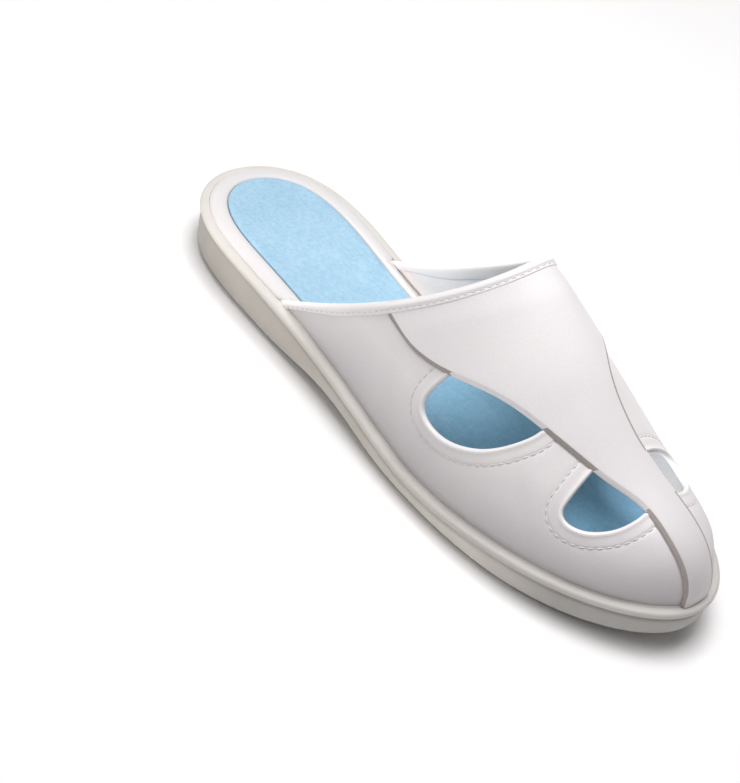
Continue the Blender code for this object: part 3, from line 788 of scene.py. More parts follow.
# ------------------------------------------------------------------ sole
def sole_profile():
    """Rows of (inset, height over the ground, height under the rim, share of the rim)."""
    rows = [(7.6, 0.0, 0.0, 0.0), (7.3, 0.0, 0.0, 0.0), (7.0, 0.0, 0.0, 0.0)]
    for a in np.linspace(0.0, math.pi / 2, 11):
        rows.append((6.0 - 4.6 * math.sin(a), 4.6 - 4.6 * math.cos(a), 0.0, 0.0))
    for k in np.linspace(0.0, 1.0, 7)[1:]:
        rows.append((1.4 - 0.2 * k - 0.15 * math.sin(math.pi * k), 4.6, -5.3, k))
    for inset, z in ((1.3, -4.95), (1.5, -4.6), (1.76, -4.2), (1.92, -3.82), (1.86, -3.45), (1.52, -3.12),
                     (1.08, -2.9), (0.75, -2.78)):
        rows.append((inset, 0.0, z, 1.0))
    for a in np.linspace(-40, 90, 9):
        rows.append((1.8 - 1.8 * math.cos(math.radians(a)), 0.0,
                     -1.6 + 1.62 * math.sin(math.radians(a)), 1.0))
    rows += [(2.6, 0.0, 0.06, 1.0), (3.3, 0.0, 0.05, 1.0), (3.66, 0.0, 0.0, 1.0),
             (3.74, 0.0, -0.3, 1.0), (3.74, 0.0, -RECESS, 1.0)]
    return rows


def tread_loops():
    """Closed loops of the tread as (points, heights): pits, dishes and pivot grooves."""
    loops = []
    taken = []

    def circle(x, s, r, n, square=2.0, turn=0.0):
        a = np.linspace(0.0, 2 * math.pi, n, endpoint=False) + turn
        c, d = np.cos(a), np.sin(a)
        k = (np.abs(c) ** square + np.abs(d) ** square) ** (-1.0 / square)
        return np.stack([x + r * k * c, s + r * k * d], -1)

    for s, off, r in DISHES:
        x = float(axis_x(s)) + off
        taken.append((x, s, r))
        loops += [(circle(x, s, r, 40), 0.0), (circle(x, s, r - 0.35, 40), 0.35),
                  (circle(x, s, r - 0.9, 40), TREAD_DEPTH - 0.15), (circle(x, s, r - 1.5, 36), TREAD_DEPTH),
                  (circle(x, s, r * 0.45, 18), TREAD_DEPTH - 0.25)]
    for s, off, grooves in PIVOTS:
        x = float(axis_x(s)) + off
        taken.append((x, s, grooves[-1][1]))
        for r0, r1 in grooves:
            n = max(20, int(r1 * 4.2))
            loops += [(circle(x, s, r1, n), 0.0), (circle(x, s, r1 - 0.3, n), 0.3),
                      (circle(x, s, r1 - 0.75, n), TREAD_DEPTH)]
            if r0 > 0:
                loops += [(circle(x, s, r0 + 0.75, n), TREAD_DEPTH), (circle(x, s, r0 + 0.3, n), 0.3),
                          (circle(x, s, r0, n), 0.0)]
    edge = ring(11.0, ground_z, 160)[:, :2]
    count = int(LENGTH / PIT_STEP)
    pits = []
    for i in range(count):
        for j in range(-12, 13):
            if (i + j) % 2:
                continue
            s = 6.0 + i * PIT_STEP
            x = float(axis_x(s)) + j * PIT_STEP
            # tread ends in a shallow curve at the waist
            front = 154.0 + 0.006 * (x + 3.0) ** 2
            back = 88.0 - 0.006 * x ** 2
            if back < s < front:
                continue
            if any(math.hypot(x - a, s - b) < r + PIT_RADIUS + 0.9 for a, b, r in taken):
                continue
            pits.append((x, s))
    pits = np.array(pits)
    ok = inside(pits, edge) & (distance(pits, edge, True) > PIT_RADIUS + 0.3)
    for x, s in pits[ok]:
        loops += [(circle(x, s, PIT_RADIUS, 14, 1.75, math.pi / 14), 0.0),
                  (circle(x, s, PIT_RADIUS - 0.35, 14, 1.75, math.pi / 14), 0.3),
                  (circle(x, s, PIT_RADIUS - 0.95, 12, 1.8, math.pi / 14), PIT_DEPTH)]
        taken.append((x, s, PIT_RADIUS))
    return loops, taken


def build_sole():
    rows = sole_profile()
    rings = []
    # under the upper the lip's top turns up against the leather
    cove = {(3.3, 0.05): (3.35, 0.28), (3.66, 0.0): (3.72, 0.68), (3.74, -0.3): (3.93, 0.92)}
    for inset, zg, zr, m in rows:
        loop = ring(inset, lambda s, zg=zg, zr=zr, m=m:
                    (1 - m) * (ground_z(s) + zg) + m * (rim_z(s) - lip_dip(s) + zr))
        if (inset, zr) in cove:
            fore, up = cove[inset, zr]
            loop = blend_rings(loop, ring(fore, lambda s, up=up: rim_z(s) - lip_dip(s) + up))
        rings.append(loop)
    n = len(rings[0])
    verts = np.concatenate(rings)
    faces = loft(rings)
    faces += strip_cap((len(rings) - 1) * n, n)
    # the lip above the groove takes the lighter copy of the rubber; the wall and the tread keep the darker copy as
    # painted shade
    groove = max(range(15, len(rows) - 8), key=lambda k: rows[k][0])
    kinds = np.zeros(len(faces), int)
    kinds[groove * n:] = 1
    # tread between the flat border's inner ring
    edge = rings[0][:, :2]
    pts = [edge]
    heights = [np.zeros(n)]
    edges = [(i, (i + 1) % n) for i in range(n)]
    total = n
    loops, taken = tread_loops()
    for loop, h in loops:
        # nothing is cut into the flat border
        if not inside(loop, edge).all() or distance(loop, edge, True).min() < 0.25:
            continue
        k = len(loop)
        pts.append(loop)
        heights.append(np.full(k, h))
        edges += [(total + i, total + (i + 1) % k) for i in range(k)]
        total += k
    gx, gs = np.meshgrid(np.arange(-50.0, 50.0, 3.2), np.arange(2.0, 280.0, 3.2))
    fill = np.stack([gx.ravel(), gs.ravel()], -1)
    fill = fill[inside(fill, edge)]
    fill = fill[distance(fill, edge, True) > 1.2]
    centres = np.array([(a, b) for a, b, _ in taken])
    radii = np.array([r for _, _, r in taken])
    gap = np.hypot(fill[:, None, 0] - centres[None, :, 0], fill[:, None, 1] - centres[None, :, 1]) - radii[None, :]
    fill = fill[gap.min(1) > 0.7]
    pts.append(fill)
    heights.append(np.zeros(len(fill)))
    pts, heights = np.concatenate(pts), np.concatenate(heights)
    flat, tris, origin = triangles_of(pts, edges, lambda c: inside(c, edge))
    h = np.array([heights[o[0]] if o else 0.0 for o in origin])
    number = np.zeros(len(flat), int)
    extra = []
    for i, o in enumerate(origin):
        if o and o[0] < n:
            number[i] = o[0]
        else:
            number[i] = len(verts) + len(extra)
            extra.append((flat[i, 0], flat[i, 1], float(ground_z(flat[i, 1])) + h[i]))
    verts = np.concatenate([verts, np.array(extra)])
    faces += [tuple(number[t]) for t in tris]
    kinds = np.concatenate([kinds, np.zeros(len(tris), int)])
    return piece("sole_unit", verts, faces, [SHADED_RUBBER, LIP_RUBBER], kinds, stands_for=("outsole",))


# ------------------------------------------------------------------ footbed and pad
def build_footbed():
    fore = FEATHER + WALL + GAP + 0.15
    rings = []
    for step, z in ((4.0, -RECESS + GAP), (-0.22, -RECESS + GAP), (-0.22, -0.1), (-0.12, 0.22), (0.12, 0.55),
                    (0.5, 0.9), (1.05, 1.22), (1.9, 1.5)):
        level = lambda s, z=z: rim_z(s) + z
        rings.append(blend_rings(ring(FEATHER + step, level), ring(fore + step, level)))
    lip = LOOK_PAD - GAP
    for inset, z in ((lip - 3.2, 1.74), (lip - 2.2, 1.76), (lip - 1.3, 1.68), (lip - 0.7, 1.5), (lip - 0.3, 1.22),
                     (lip - 0.06, 0.9), (lip, 0.6), (lip, 0.0)):
        rings.append(ring(inset, lambda s, z=z: rim_z(s) + z))
    n = len(rings[0])
    faces = loft(rings) + strip_cap(0, n) + strip_cap((len(rings) - 1) * n, n)
    return piece("footbed_border", np.concatenate(rings), faces, [BORDER_LEATHER],
                 stands_for=("footbed",))


def pad_top(x, s):
    """Height of the pad over the rim away from its edge: a shallow heel cup and a soft crown."""
    cup = 0.7 * np.exp(-((s - 48.0) / 30.0) ** 2) * np.clip(1 - (x / 27.0) ** 2, 0.0, 1.0)
    ball = 0.5 * np.exp(-((s - 195.0) / 34.0) ** 2) * np.clip(1 - ((x + 3.0) / 34.0) ** 2, 0.0, 1.0)
    return PAD_RISE + 0.12 - cup - ball


def build_pad():
    rings = []
    for inset, z in ((LOOK_PAD + 4.0, GAP), (LOOK_PAD + 0.1, GAP), (LOOK_PAD, 0.7), (LOOK_PAD + 0.04, 1.15),
                     (LOOK_PAD + 0.2, 1.5), (LOOK_PAD + 0.5, 1.75), (LOOK_PAD + 1.0, 1.9), (LOOK_PAD + 1.9, 1.99)):
        rings.append(ring(inset, lambda s, z=z: rim_z(s) + z))
    n = len(rings[0])
    half = n // 2
    verts = np.concatenate(rings)
    faces = loft(rings) + strip_cap(0, n)
    last = (len(rings) - 1) * n
    # top surface: rows across from the outer half to the inner half
    cols = 44
    grid = {}
    extra = []
    for i in range(1, half):
        a, b = rings[-1][i], rings[-1][n - i]
        for c in range(cols + 1):
            if c == 0:
                grid[i, c] = last + i
            elif c == cols:
                grid[i, c] = last + n - i
            else:
                p = a + (b - a) * c / cols
                near = min(c, cols - c) / cols * np.linalg.norm(b - a)
                end = min(p[1] - (LOOK_PAD + 1.9), LENGTH - LOOK_PAD - 1.9 - p[1])
                w = smooth(0.0, 5.0, min(near, max(end, 0.0)))
                z = rim_z(p[1]) + (1 - w) * 1.99 + w * pad_top(p[0], p[1])
                grid[i, c] = len(verts) + len(extra)
                extra.append((p[0], p[1], float(z)))
    for i in range(1, half - 1):
        for c in range(cols):
            faces.append((grid[i, c], grid[i + 1, c], grid[i + 1, c + 1], grid[i, c + 1]))
    for i, tip in ((1, last), (half - 1, last + half)):
        for c in range(cols):
            faces.append((grid[i, c], grid[i, c + 1], tip))
    verts = np.concatenate([verts, np.array(extra)])
    obj = piece("pad_cover", verts, faces, [WEAVE], stands_for=("insole_pad",))
    return obj


# ------------------------------------------------------------------ lines on the upper
def moved_on(s, t, along, d):
    """Steps off a line on the upper, in the surface and square to it.

    along is the line's direction in space; positive d goes to the left of it, seen from outside.
    """
    p, ps, pt, n = upper_frame(s, t)
    across = np.cross(n, along)
    across /= np.linalg.norm(across, axis=-1, keepdims=True)
    want = across * d
    a11, a12, a22 = (ps * ps).sum(-1), (ps * pt).sum(-1), (pt * pt).sum(-1)
    b1, b2 = (ps * want).sum(-1), (pt * want).sum(-1)
    det = a11 * a22 - a12 * a12
    return s + (b1 * a22 - b2 * a12) / det, t + (b2 * a11 - b1 * a12) / det


def tangent(points):
    d = np.gradient(points, axis=0)
    return d / np.linalg.norm(d, axis=1, keepdims=True)


def cutout_curve(side, row, n=90):
    """Curved edge of a cut-out from its rear end on the seam to its front end, as (s, girth)."""
    pts = np.array(row)
    run = np.concatenate([[0.0], np.cumsum(np.linalg.norm(np.diff(pts, axis=0), axis=1))])
    at = np.linspace(0.0, run[-1], n)
    s = spline(run, pts[:, 0])(at)
    drop = np.maximum(spline(run, pts[:, 1])(at), 0.0)
    return np.stack([s, seam_girth(side, s) + drop], -1)


def on_upper(side, sg):
    """Points of the outer face from (s, girth)."""
    return upper_point(sg[:, 0], t_of_girth(side, sg[:, 0], sg[:, 1]))


def nose(d, r):
    """Half-round edge: 0 on the edge, 1 from r inwards."""
    return np.sqrt(np.clip(1 - (1 - np.clip(d / r, 0.0, 1.0)) ** 2, 0.0, 1.0))


NOSE_ROWS = (0.03, 0.12, 0.28, 0.5, 0.8, 1.15)


# ------------------------------------------------------------------ side panels
def side_sheet(side):
    """One side panel: flat points with their station and girth, triangles and boundary lines."""
    start = SEAM_START[side]
    # at the toe the panel runs on a little under the strip
    low = float(seam_girth(side, SEAM_END[side])) - TUCK + 0.7
    end = solve(lambda s: low - float(full_girth(side, s)), SEAM_END[side], UPPER_END - 0.05)
    run_s = np.concatenate([[78.0], np.linspace(start, end, 400)])
    seam_pts = upper_point(run_s, t_of_girth(side, run_s, seam_girth(side, run_s)))
    step = np.linalg.norm(np.diff(seam_pts, axis=0), axis=1)
    step[0] = start - 78.0
    run = np.concatenate([[0.0], np.cumsum(step)])

    def flat(sg):
        return np.stack([np.interp(sg[:, 0], run_s, run), sg[:, 1]], -1)

    def back(p):
        return np.stack([np.interp(p[:, 0], run, run_s), p[:, 1]], -1)

    def collar_line(n):
        t_top = float(t_of_girth(side, start + 4.0, seam_girth(side, start) - TUCK))
        t = np.linspace(abs(t_top), 1.0, n)
        return np.stack([collar_s(t), girth_of(side, collar_s(t), t)], -1)

    collar = collar_line(110)
    notches = []
    for row in CUTOUTS[side]:
        curve = cutout_curve(side, row)
        notches.append(spaced(curve, 0.9))
    # top edge with its notches, from the collar to the toe
    top = []
    s_from = collar[0, 0]
    for curve in notches:
        a, b = curve[0, 0], curve[-1, 0]
        s = np.linspace(s_from, a, max(3, int((a - s_from) / 1.2)))
        top.append(np.stack([s, seam_girth(side, s) - TUCK], -1)[1 if top else 0:])
        up = np.linspace(1.0, 0.0, 4)[1:-1]
        top.append(np.stack([np.full(2, a), seam_girth(side, np.full(2, a)) - TUCK * up], -1))
        top.append(curve)
        top.append(np.stack([np.full(2, b), seam_girth(side, np.full(2, b)) - TUCK * up[::-1]], -1))
        top.append(np.array([[b, float(seam_girth(side, b)) - TUCK]]))
        s_from = b
    s = np.linspace(s_from, end, int((end - s_from) / 1.0))
    top.append(np.stack([s, seam_girth(side, s) - TUCK], -1)[1:])
    top = np.concatenate(top)
    top[0] = collar[0]
    skirt_s = S_ROWS[(S_ROWS > COLLAR_SIDE + 1.0) & (S_ROWS < end)]
    skirt = np.stack([skirt_s, full_girth(side, skirt_s) + RECESS - GAP], -1)
    skirt = np.concatenate([[[COLLAR_SIDE, full_girth(side, COLLAR_SIDE) + RECESS - GAP]], skirt,
                            [[end, full_girth(side, end) + RECESS - GAP]]])
    skirt = back(spaced(flat(skirt), 1.3))
    outline = np.concatenate([top, skirt[::-1], collar[1:-1][::-1]])
    outline_flat = flat(outline)
    keep_dist = 0.55

    # rows of points set in from the notches, the feather line and the collar
    rows = []
    notch_space = []
    for curve in notches:
        t = t_of_girth(side, curve[:, 0], curve[:, 1])
        p = upper_point(curve[:, 0], t)
        notch_space.append(p)
        along = tangent(p)
        for d in NOSE_ROWS + (1.6, 2.3, 3.1, 3.9, 4.6, 5.1, 5.45, 5.75, 6.0, 6.25, 6.55, 7.0, 7.7):
            s2, t2 = moved_on(curve[:, 0], t, along, -side * d)
            pick = slice(None, None, 1 if d < 6.8 else 2)
            rows.append(np.stack([s2, girth_of(side, s2, t2) + np.where(np.abs(t2) > 1, 50.0, 0.0)], -1)[pick])
    feather = np.stack([skirt[1:-1, 0], full_girth(side, skirt[1:-1, 0])], -1)
    for up in (-0.8, 0.0, 0.7, 1.5, 2.5):
        rows.append(feather - np.array([0.0, up]))
    t = t_of_girth(side, collar[:, 0], collar[:, 1])
    p = upper_point(collar[:, 0], t)
    along = tangent(p)
    for d in (0.15, 0.5, 0.95):
        s2, t2 = moved_on(collar[3:-3, 0], t[3:-3], along[3:-3], side * d)
        rows.append(np.stack([s2, girth_of(side, s2, t2)], -1))
    for d in (0.15, 0.5, 0.95):
        rows.append(np.stack([top[:, 0], seam_girth(side, top[:, 0]) - TUCK + d], -1))
    rows = np.concatenate(rows)
    rows_flat = flat(rows)
    ok = inside(rows_flat, outline_flat) & (distance(rows_flat, outline_flat, True) > 0.022)
    rows_flat = rows_flat[ok]
    # even filling elsewhere
    lo, hi = outline_flat.min(0), outline_flat.max(0)
    pitch = 1.15
    gx, gy = np.meshgrid(np.arange(lo[0], hi[0], pitch), np.arange(lo[1], hi[1], pitch))
    gx = gx + (np.arange(gx.shape[0]) % 2)[:, None] * pitch / 2
    fill = np.stack([gx.ravel(), gy.ravel()], -1)
    fill = fill[inside(fill, outline_flat)]
    fill = fill[distance(fill, outline_flat, True) > keep_dist]
    taken = set()
    for q in rows_flat:
        taken.add((int(q[0] / 0.8), int(q[1] / 0.8)))
    fill = np.array([q for q in fill
                     if not any((int(q[0] / 0.8) + i, int(q[1] / 0.8) + j) in taken
                                for i in (-1, 0, 1) for j in (-1, 0, 1))])
    n = len(outline_flat)
    pts = np.concatenate([outline_flat, rows_flat, fill])
    edges = [(i, (i + 1) % n) for i in range(n)]
    verts, tris, origin = triangles_of(pts, edges, lambda c: inside(c, outline_flat))
    on_edge = np.array([bool(o) and o[0] < n for o in origin])
    return back(verts), verts, tris, on_edge, outline_flat, notch_space


def sheet_point(side, sg):
    """Base point and outward normal of points given by (s, girth), skirt included."""
    s, g = sg[:, 0], sg[:, 1]
    over = np.maximum(0.0, g - full_girth(side, s))
    t = t_of_girth(side, s, np.minimum(g, full_girth(side, s)))
    p, _, _, n = upper_frame(s, t)
    p = p - np.stack([0 * over, 0 * over, over], -1)
    return p, n


def hem(d):
    """Rise of the folded edge at a distance from the cut-out, with its stitch groove."""
    rise = HEM_RISE * (1 - smooth(HEM_WIDTH - 0.9, HEM_WIDTH + 0.5, d))
    bead = 0.5 * np.exp(-((d - 0.95) / 0.75) ** 2)
    groove = -0.26 * np.exp(-((d - HEM_WIDTH) / 0.6) ** 2)
    return rise + bead + groove


def side_shift(side, s, g, d_hole):
    """How far the side panel's leather stands off its plain form."""
    up = full_girth(side, s) - g
    shift = creases(s, side * g) * smooth(0.5, 7.0, up) * smooth(0.0, 9.0, d_hole)
    # the wall swells a little above the feather line, as lasted leather does
    shift = shift + 0.8 * smooth(0.0, 6.0, up) * (1 - smooth(8.0, 24.0, up)) * (1 - smooth(255.0, 272.0, s))
    # flat under the collar band
    return shift * smooth(6.0, 20.0, s - collar_s(t_of_girth(side, s, np.minimum(g, full_girth(side, s)))))


def build_sides():
    verts, faces, index = [], [], []
    total = 0
    for side in (1, -1):
        sg, flat, tris, on_edge, outline_flat, notch_space = side_sheet(side)
        # a corner that lies wholly on the edge would fold both layers into one face
        tris = tris[~on_edge[tris].all(1)]
        base, normal = sheet_point(side, sg)
        d_hole = np.minimum(distance(base, notch_space[0]), distance(base, notch_space[1]))
        d_edge = distance(flat, outline_flat, True)
        outer = hem(d_hole)
        shift = side_shift(side, sg[:, 0], sg[:, 1], d_hole)
        half = (outer + WALL) / 2
        mid = (outer - WALL) / 2 + shift
        round_off = np.minimum(nose(d_hole, HEM_NOSE), nose(d_edge, 0.9))
        half = np.where(on_edge, 0.0, half * np.maximum(round_off, 0.02))
        top = base + (mid + half)[:, None] * normal
        low = base + (mid - half)[:, None] * normal
        count = len(top)
        verts += [top, low]
        turn_over = tris[:, ::-1] + count
        # edge points are shared, so both layers close along them
        turn_over = np.where(on_edge[tris[:, ::-1]], tris[:, ::-1], turn_over)
        faces.append(tris + total)
        faces.append(turn_over + total)
        # whiter rolled edge round the cut-outs, lining inside
        index.append(np.where(d_hole[tris].mean(1) < 1.62, 2, 0))
        index.append(np.where(d_hole[tris].mean(1) > 4.4, 1, 2))
        total += 2 * count
    # the part under the vamp panel, seen from inside only
    cols, rows = 36, 90
    edge = TUCK + 0.35
    layers = [[], []]
    for q in np.linspace(-1.0, 1.0, cols + 1):
        side = 1 if q >= 0 else -1

        def t_at(s, q=q, side=side):
            g = np.maximum(seam_girth(side, s) - edge, 2.0)
            return abs(q) * t_of_girth(side, s, g)

        first = solve(lambda s: s - float(collar_s(t_at(s))), COLLAR_SIDE + 1, COLLAR_TOP + 1)
        last = min(SEAM_END[1], SEAM_END[-1]) - 0.6
        u = np.linspace(0.0, 1.0, rows + 1)
        s = first + (last - first) * (0.42 * u + 0.58 * np.sin(np.pi / 2 * u))
        t = t_at(s)
        p, _, _, n = upper_frame(s, t)
        shift = creases(s, side * girth_of(side, s, t)) * 0.8
        layers[0].append(p + (shift - 0.05)[:, None] * n)
        layers[1].append(p + (shift - WALL)[:, None] * n)
    grid = np.arange((cols + 1) * (rows + 1)).reshape(cols + 1, rows + 1)
    high, low = grid + total, grid + total + grid.size
    verts += [np.concatenate(layers[0]), np.concatenate(layers[1])]
    quads, kinds = [], []
    for c in range(cols):
        for r in range(rows):
            quads.append((high[c, r], high[c + 1, r], high[c + 1, r + 1], high[c, r + 1]))
            quads.append((low[c, r + 1], low[c + 1, r + 1], low[c + 1, r], low[c, r]))
            kinds += [0, 1]
    loop = ([(c, 0) for c in range(cols)] + [(cols, r) for r in range(rows)]
            + [(c, rows) for c in range(cols, 0, -1)] + [(0, r) for r in range(rows, 0, -1)])
    for (c0, r0), (c1, r1) in zip(loop, loop[1:] + loop[:1]):
        quads.append((high[c0, r0], low[c0, r0], low[c1, r1], high[c1, r1]))
        kinds.append(1)
    all_faces = [tuple(f) for block in faces for f in block] + quads
    return piece("upper_sides", np.concatenate(verts), all_faces, [SIDE_LEATHER, LINING, BAND_LEATHER],
                 np.concatenate(index + [np.array(kinds)]), stands_for=("upper",))


# ------------------------------------------------------------------ collar line
def collar_frames(n):
    t = np.linspace(1.0, -1.0, n)
    s = collar_s(t)
    p = upper_point(s, t)
    run = np.concatenate([[0.0], np.cumsum(np.linalg.norm(np.diff(p, axis=0), axis=1))])
    t = np.interp(np.linspace(0, run[-1], n), run, t)
    s = collar_s(t)
    p, _, _, normal = upper_frame(s, t)
    along = tangent(p)
    down = np.cross(normal, along)
    down /= np.linalg.norm(down, axis=1, keepdims=True)
    if down[n // 2, 1] < 0:
        down = -down
    return s, t, p, along, down, normal


def off_collar(s, t, along, down, d):
    """(s, t) at a distance below the collar edge."""
    p, ps, pt, n = upper_frame(s, t)
    want = down * d
    a11, a12, a22 = (ps * ps).sum(-1), (ps * pt).sum(-1), (pt * pt).sum(-1)
    b1, b2 = (ps * want).sum(-1), (pt * want).sum(-1)
    det = a11 * a22 - a12 * a12
    return s + (b1 * a22 - b2 * a12) / det, np.clip(t + (b2 * a11 - b1 * a12) / det, -1.0, 1.0)


COLLAR = collar_frames(361)


def over_panel(t):
    """1 where the collar runs over the vamp panel, 0 over the side panels."""
    edges = (float(panel_t(1, SEAM_START[1])), float(panel_t(-1, SEAM_START[-1])))
    return smooth(edges[1] - 0.03, edges[1] + 0.03, t) * (1 - smooth(edges[0] - 0.03, edges[0] + 0.03, t))


def band_share(t):
    """The collar band runs out narrower at its two ends."""
    return 1 - 0.4 * smooth(0.80, 0.97, np.abs(t))


def build_band():
    s, t, p, along, down, normal = COLLAR
    lift = 1.0 + BAND_LIFT * over_panel(t)
    share = band_share(t)[:, None]
    w = BAND_WIDTH
    # closed profile: distance below the edge, height over the leather
    outside = [(w, 0.05), (w + 0.04, 0.22), (w - 0.06, 0.40), (w - 0.3, 0.52), (w - 0.7, 0.56), (w - 1.05, 0.50),
               (w - 1.3, 0.47), (w - 1.55, 0.50), (w - 1.9, 0.58), (1.9, 0.63), (1.2, 0.50), (0.6, 0.20), (0.12, -0.2),
               (-0.22, -0.62), (-0.34, -1.0)]
    lining = [(-0.3, -1.4), (0.0, -1.8), (0.5, -2.1), (1.3, -2.3), (2.6, -2.34), (4.0, -2.3), (4.9, -2.22),
              (5.25, -2.05), (5.3, -1.9), (5.1, -1.84)]
    hidden = [(3.2, -1.83), (1.4, -1.83), (0.5, -1.7), (0.06, -0.95), (0.5, -0.05), (1.4, 0.03), (3.2, 0.03)]
    profile = outside + lining + hidden
    rings = []
    for d, h in profile:
        if d > 0:
            s2, t2 = off_collar(s, t, along, down, d * share)
            q, _, _, n2 = upper_frame(s2, t2)
        else:
            q, n2 = p + down * d, normal
        hh = h * lift if h > 0.1 else np.full(len(s), h)
        rings.append(q + hh[:, None] * n2)
    rings = np.stack(rings, 1)                       # frames by profile
    # the ends stand on the sole's rim and the footbed's border
    rim = rim_z(rings[..., 1]) + 0.06
    rings[..., 2] = np.maximum(rings[..., 2], rim)
    n, k = rings.shape[:2]
    faces, kinds = [], []
    a = len(outside)
    b = a + len(lining)
    for i in range(n - 1):
        for j in range(k):
            jj = (j + 1) % k
            faces.append((i * k + j, i * k + jj, (i + 1) * k + jj, (i + 1) * k + j))
            kinds.append(1 if a + 1 <= j < b else 0)
    faces.append(tuple(range(k)))
    faces.append(tuple((n - 1) * k + j for j in range(k))[::-1])
    kinds += [0, 0]
    return piece("collar_band", rings.reshape(-1, 3), faces, [BAND_LEATHER, LINING], kinds)


# ------------------------------------------------------------------ vamp panel
# columns of points by their distance from the panel's edge; the first few lie on the raw bevel
EDGE_ROWS = (0.0, 0.5, 1.0, 1.5, 1.59, 1.73, 1.95, 2.5, 3.4)
BEVEL_COLS = 3


def panel_grid():
    """Stations and section parameters of the panel's columns; edge columns keep their distance."""
    s, t, p, along, down, normal = COLLAR
    s_top, t_top = off_collar(s, t, along, down, BAND_WIDTH - 1.1)
    order = np.argsort(t_top)

    def top_line(tt):
        return np.interp(tt, t_top[order], s_top[order])

    near = np.array(EDGE_ROWS)
    body = np.linspace(0.0, 1.0, 42)[1:-1]
    cols = []
    spec = [(1, d, None) for d in near] + [(0, None, f) for f in body] + [(-1, d, None) for d in near[::-1]]
    u = np.linspace(0.0, 1.0, 150)
    h = 0.45 * u + 0.55 * np.sin(np.pi / 2 * u)
    for kind, d, f in spec:
        def v_at(s, kind=kind, d=d, f=f):
            g1, g2 = seam_girth(1, s), seam_girth(-1, s)
            m1 = 1 - near[-1] / g1
            m2 = -(1 - near[-1] / g2)
            if kind == 1:
                return 1 - d / g1
            if kind == -1:
                return -(1 - d / g2)
            return m1 + (m2 - m1) * f

        first = solve(lambda s: s - float(top_line(float(panel_t(v_at(s), s)))), COLLAR_SIDE + 1, COLLAR_TOP + 30)
        end_v = float(v_at(272.0))
        last = strip_end(end_v)
        length = 1.25 * (last - first)
        head = np.array((0.0, 0.03, 0.12, 0.28, 0.5, 0.8)) / length
        tail = 1 - np.array((0.5, 0.3, 0.14, 0.05, 0.0)) / length
        hh = np.concatenate([head, h[2:-1], tail])
        hh = np.sort(hh)
        ss = first + (last - first) * hh
        v = v_at(ss)
        tt = panel_t(v, ss)
        tt[-1] = math.copysign(1.0, float(shift_body(last) + end_v * strip_width[1 if end_v >= 0 else -1](last) - ridge_x(last)))
        dd = np.minimum(np.where(kind == 1, d if d is not None else 9.0, 9.0),
                        np.where(kind == -1, d if d is not None else 9.0, 9.0)) * np.ones(len(ss))
        cols.append((ss, tt, dd, hh * length, (1 - hh) * length))
    return cols


def build_panel(cols):
    top, low = [], []
    for s, t, d, from_top, from_toe in cols:
        p, _, _, n = upper_frame(s, t)
        side = np.where(t >= 0, 1, -1)
        g = np.where(t >= 0, girth_of(1, s, t), -girth_of(-1, s, t))
        lift = np.maximum(0.0, rim_z(s) + 0.25 - p[:, 2])
        p = p + np.stack([0 * lift, 0 * lift, lift], -1)
        shift = creases(s, g) * smooth(0.0, 6.0, from_toe)
        # bevelled raw edge with a worn upper corner; skived thinner where it goes under the collar band
        hi = 0.95 + (PANEL_TOP - 0.95) * smooth(0.0, 14.0, from_top)
        bevel = 0.42 + (hi - 0.12 - 0.42) * d / EDGE_ROWS[BEVEL_COLS]
        corner = hi - 0.12 * (1 - nose(d - EDGE_ROWS[BEVEL_COLS], 0.45))
        hi = np.where(d < EDGE_ROWS[BEVEL_COLS], bevel, corner) - 0.25 * (1 - nose(from_toe, 0.3))
        top.append(p + (hi + shift)[:, None] * n)
        low.append(p + (np.minimum(PANEL_LOW, hi - 0.12) + shift)[:, None] * n)
    rows = len(top[0])
    count = len(top)

    def raw(c, r):
        """Whether a face on the bevel takes the dark raw-edge tone, partly the raw edge and partly painted shadow along
        the seam; over the cut-outs the coating is turned under.
        """
        # on the inner side the dark tone lies on the upper corner as a painted shadow line, and the foot of the bevel
        # is coated
        if BEVEL_COLS <= c < count - 1 - BEVEL_COLS - 4 or c >= count - 3:
            return False
        side = 1 if c < BEVEL_COLS else -1
        s = cols[c][0][r]
        return not any(row[0][0] - 0.5 < s < row[-1][0] - 0.5 for row in CUTOUTS[side])
    verts = np.concatenate(top + low)
    grid = np.arange(count * rows).reshape(count, rows)
    under = grid + grid.size
    faces, kinds = [], []
    for c in range(count - 1):
        for r in range(rows - 1):
            faces.append((grid[c, r], grid[c + 1, r], grid[c + 1, r + 1], grid[c, r + 1]))
            faces.append((under[c, r + 1], under[c + 1, r + 1], under[c + 1, r], under[c, r]))
            kinds += [2 if raw(c, r) else 0, 1]
    loop = ([(c, 0) for c in range(count - 1)] + [(count - 1, r) for r in range(rows - 1)]
            + [(c, rows - 1) for c in range(count - 1, 0, -1)] + [(0, r) for r in range(rows - 1, 0, -1)])
    for (c0, r0), (c1, r1) in zip(loop, loop[1:] + loop[:1]):
        faces.append((grid[c0, r0], under[c0, r0], under[c1, r1], grid[c1, r1]))
        kinds.append(2)
    return piece("vamp_overlay", verts, faces, [PANEL_LEATHER, LINING, CUT_EDGE_AND_SHADOW], kinds,
                 stands_for=("vamp_panel",))


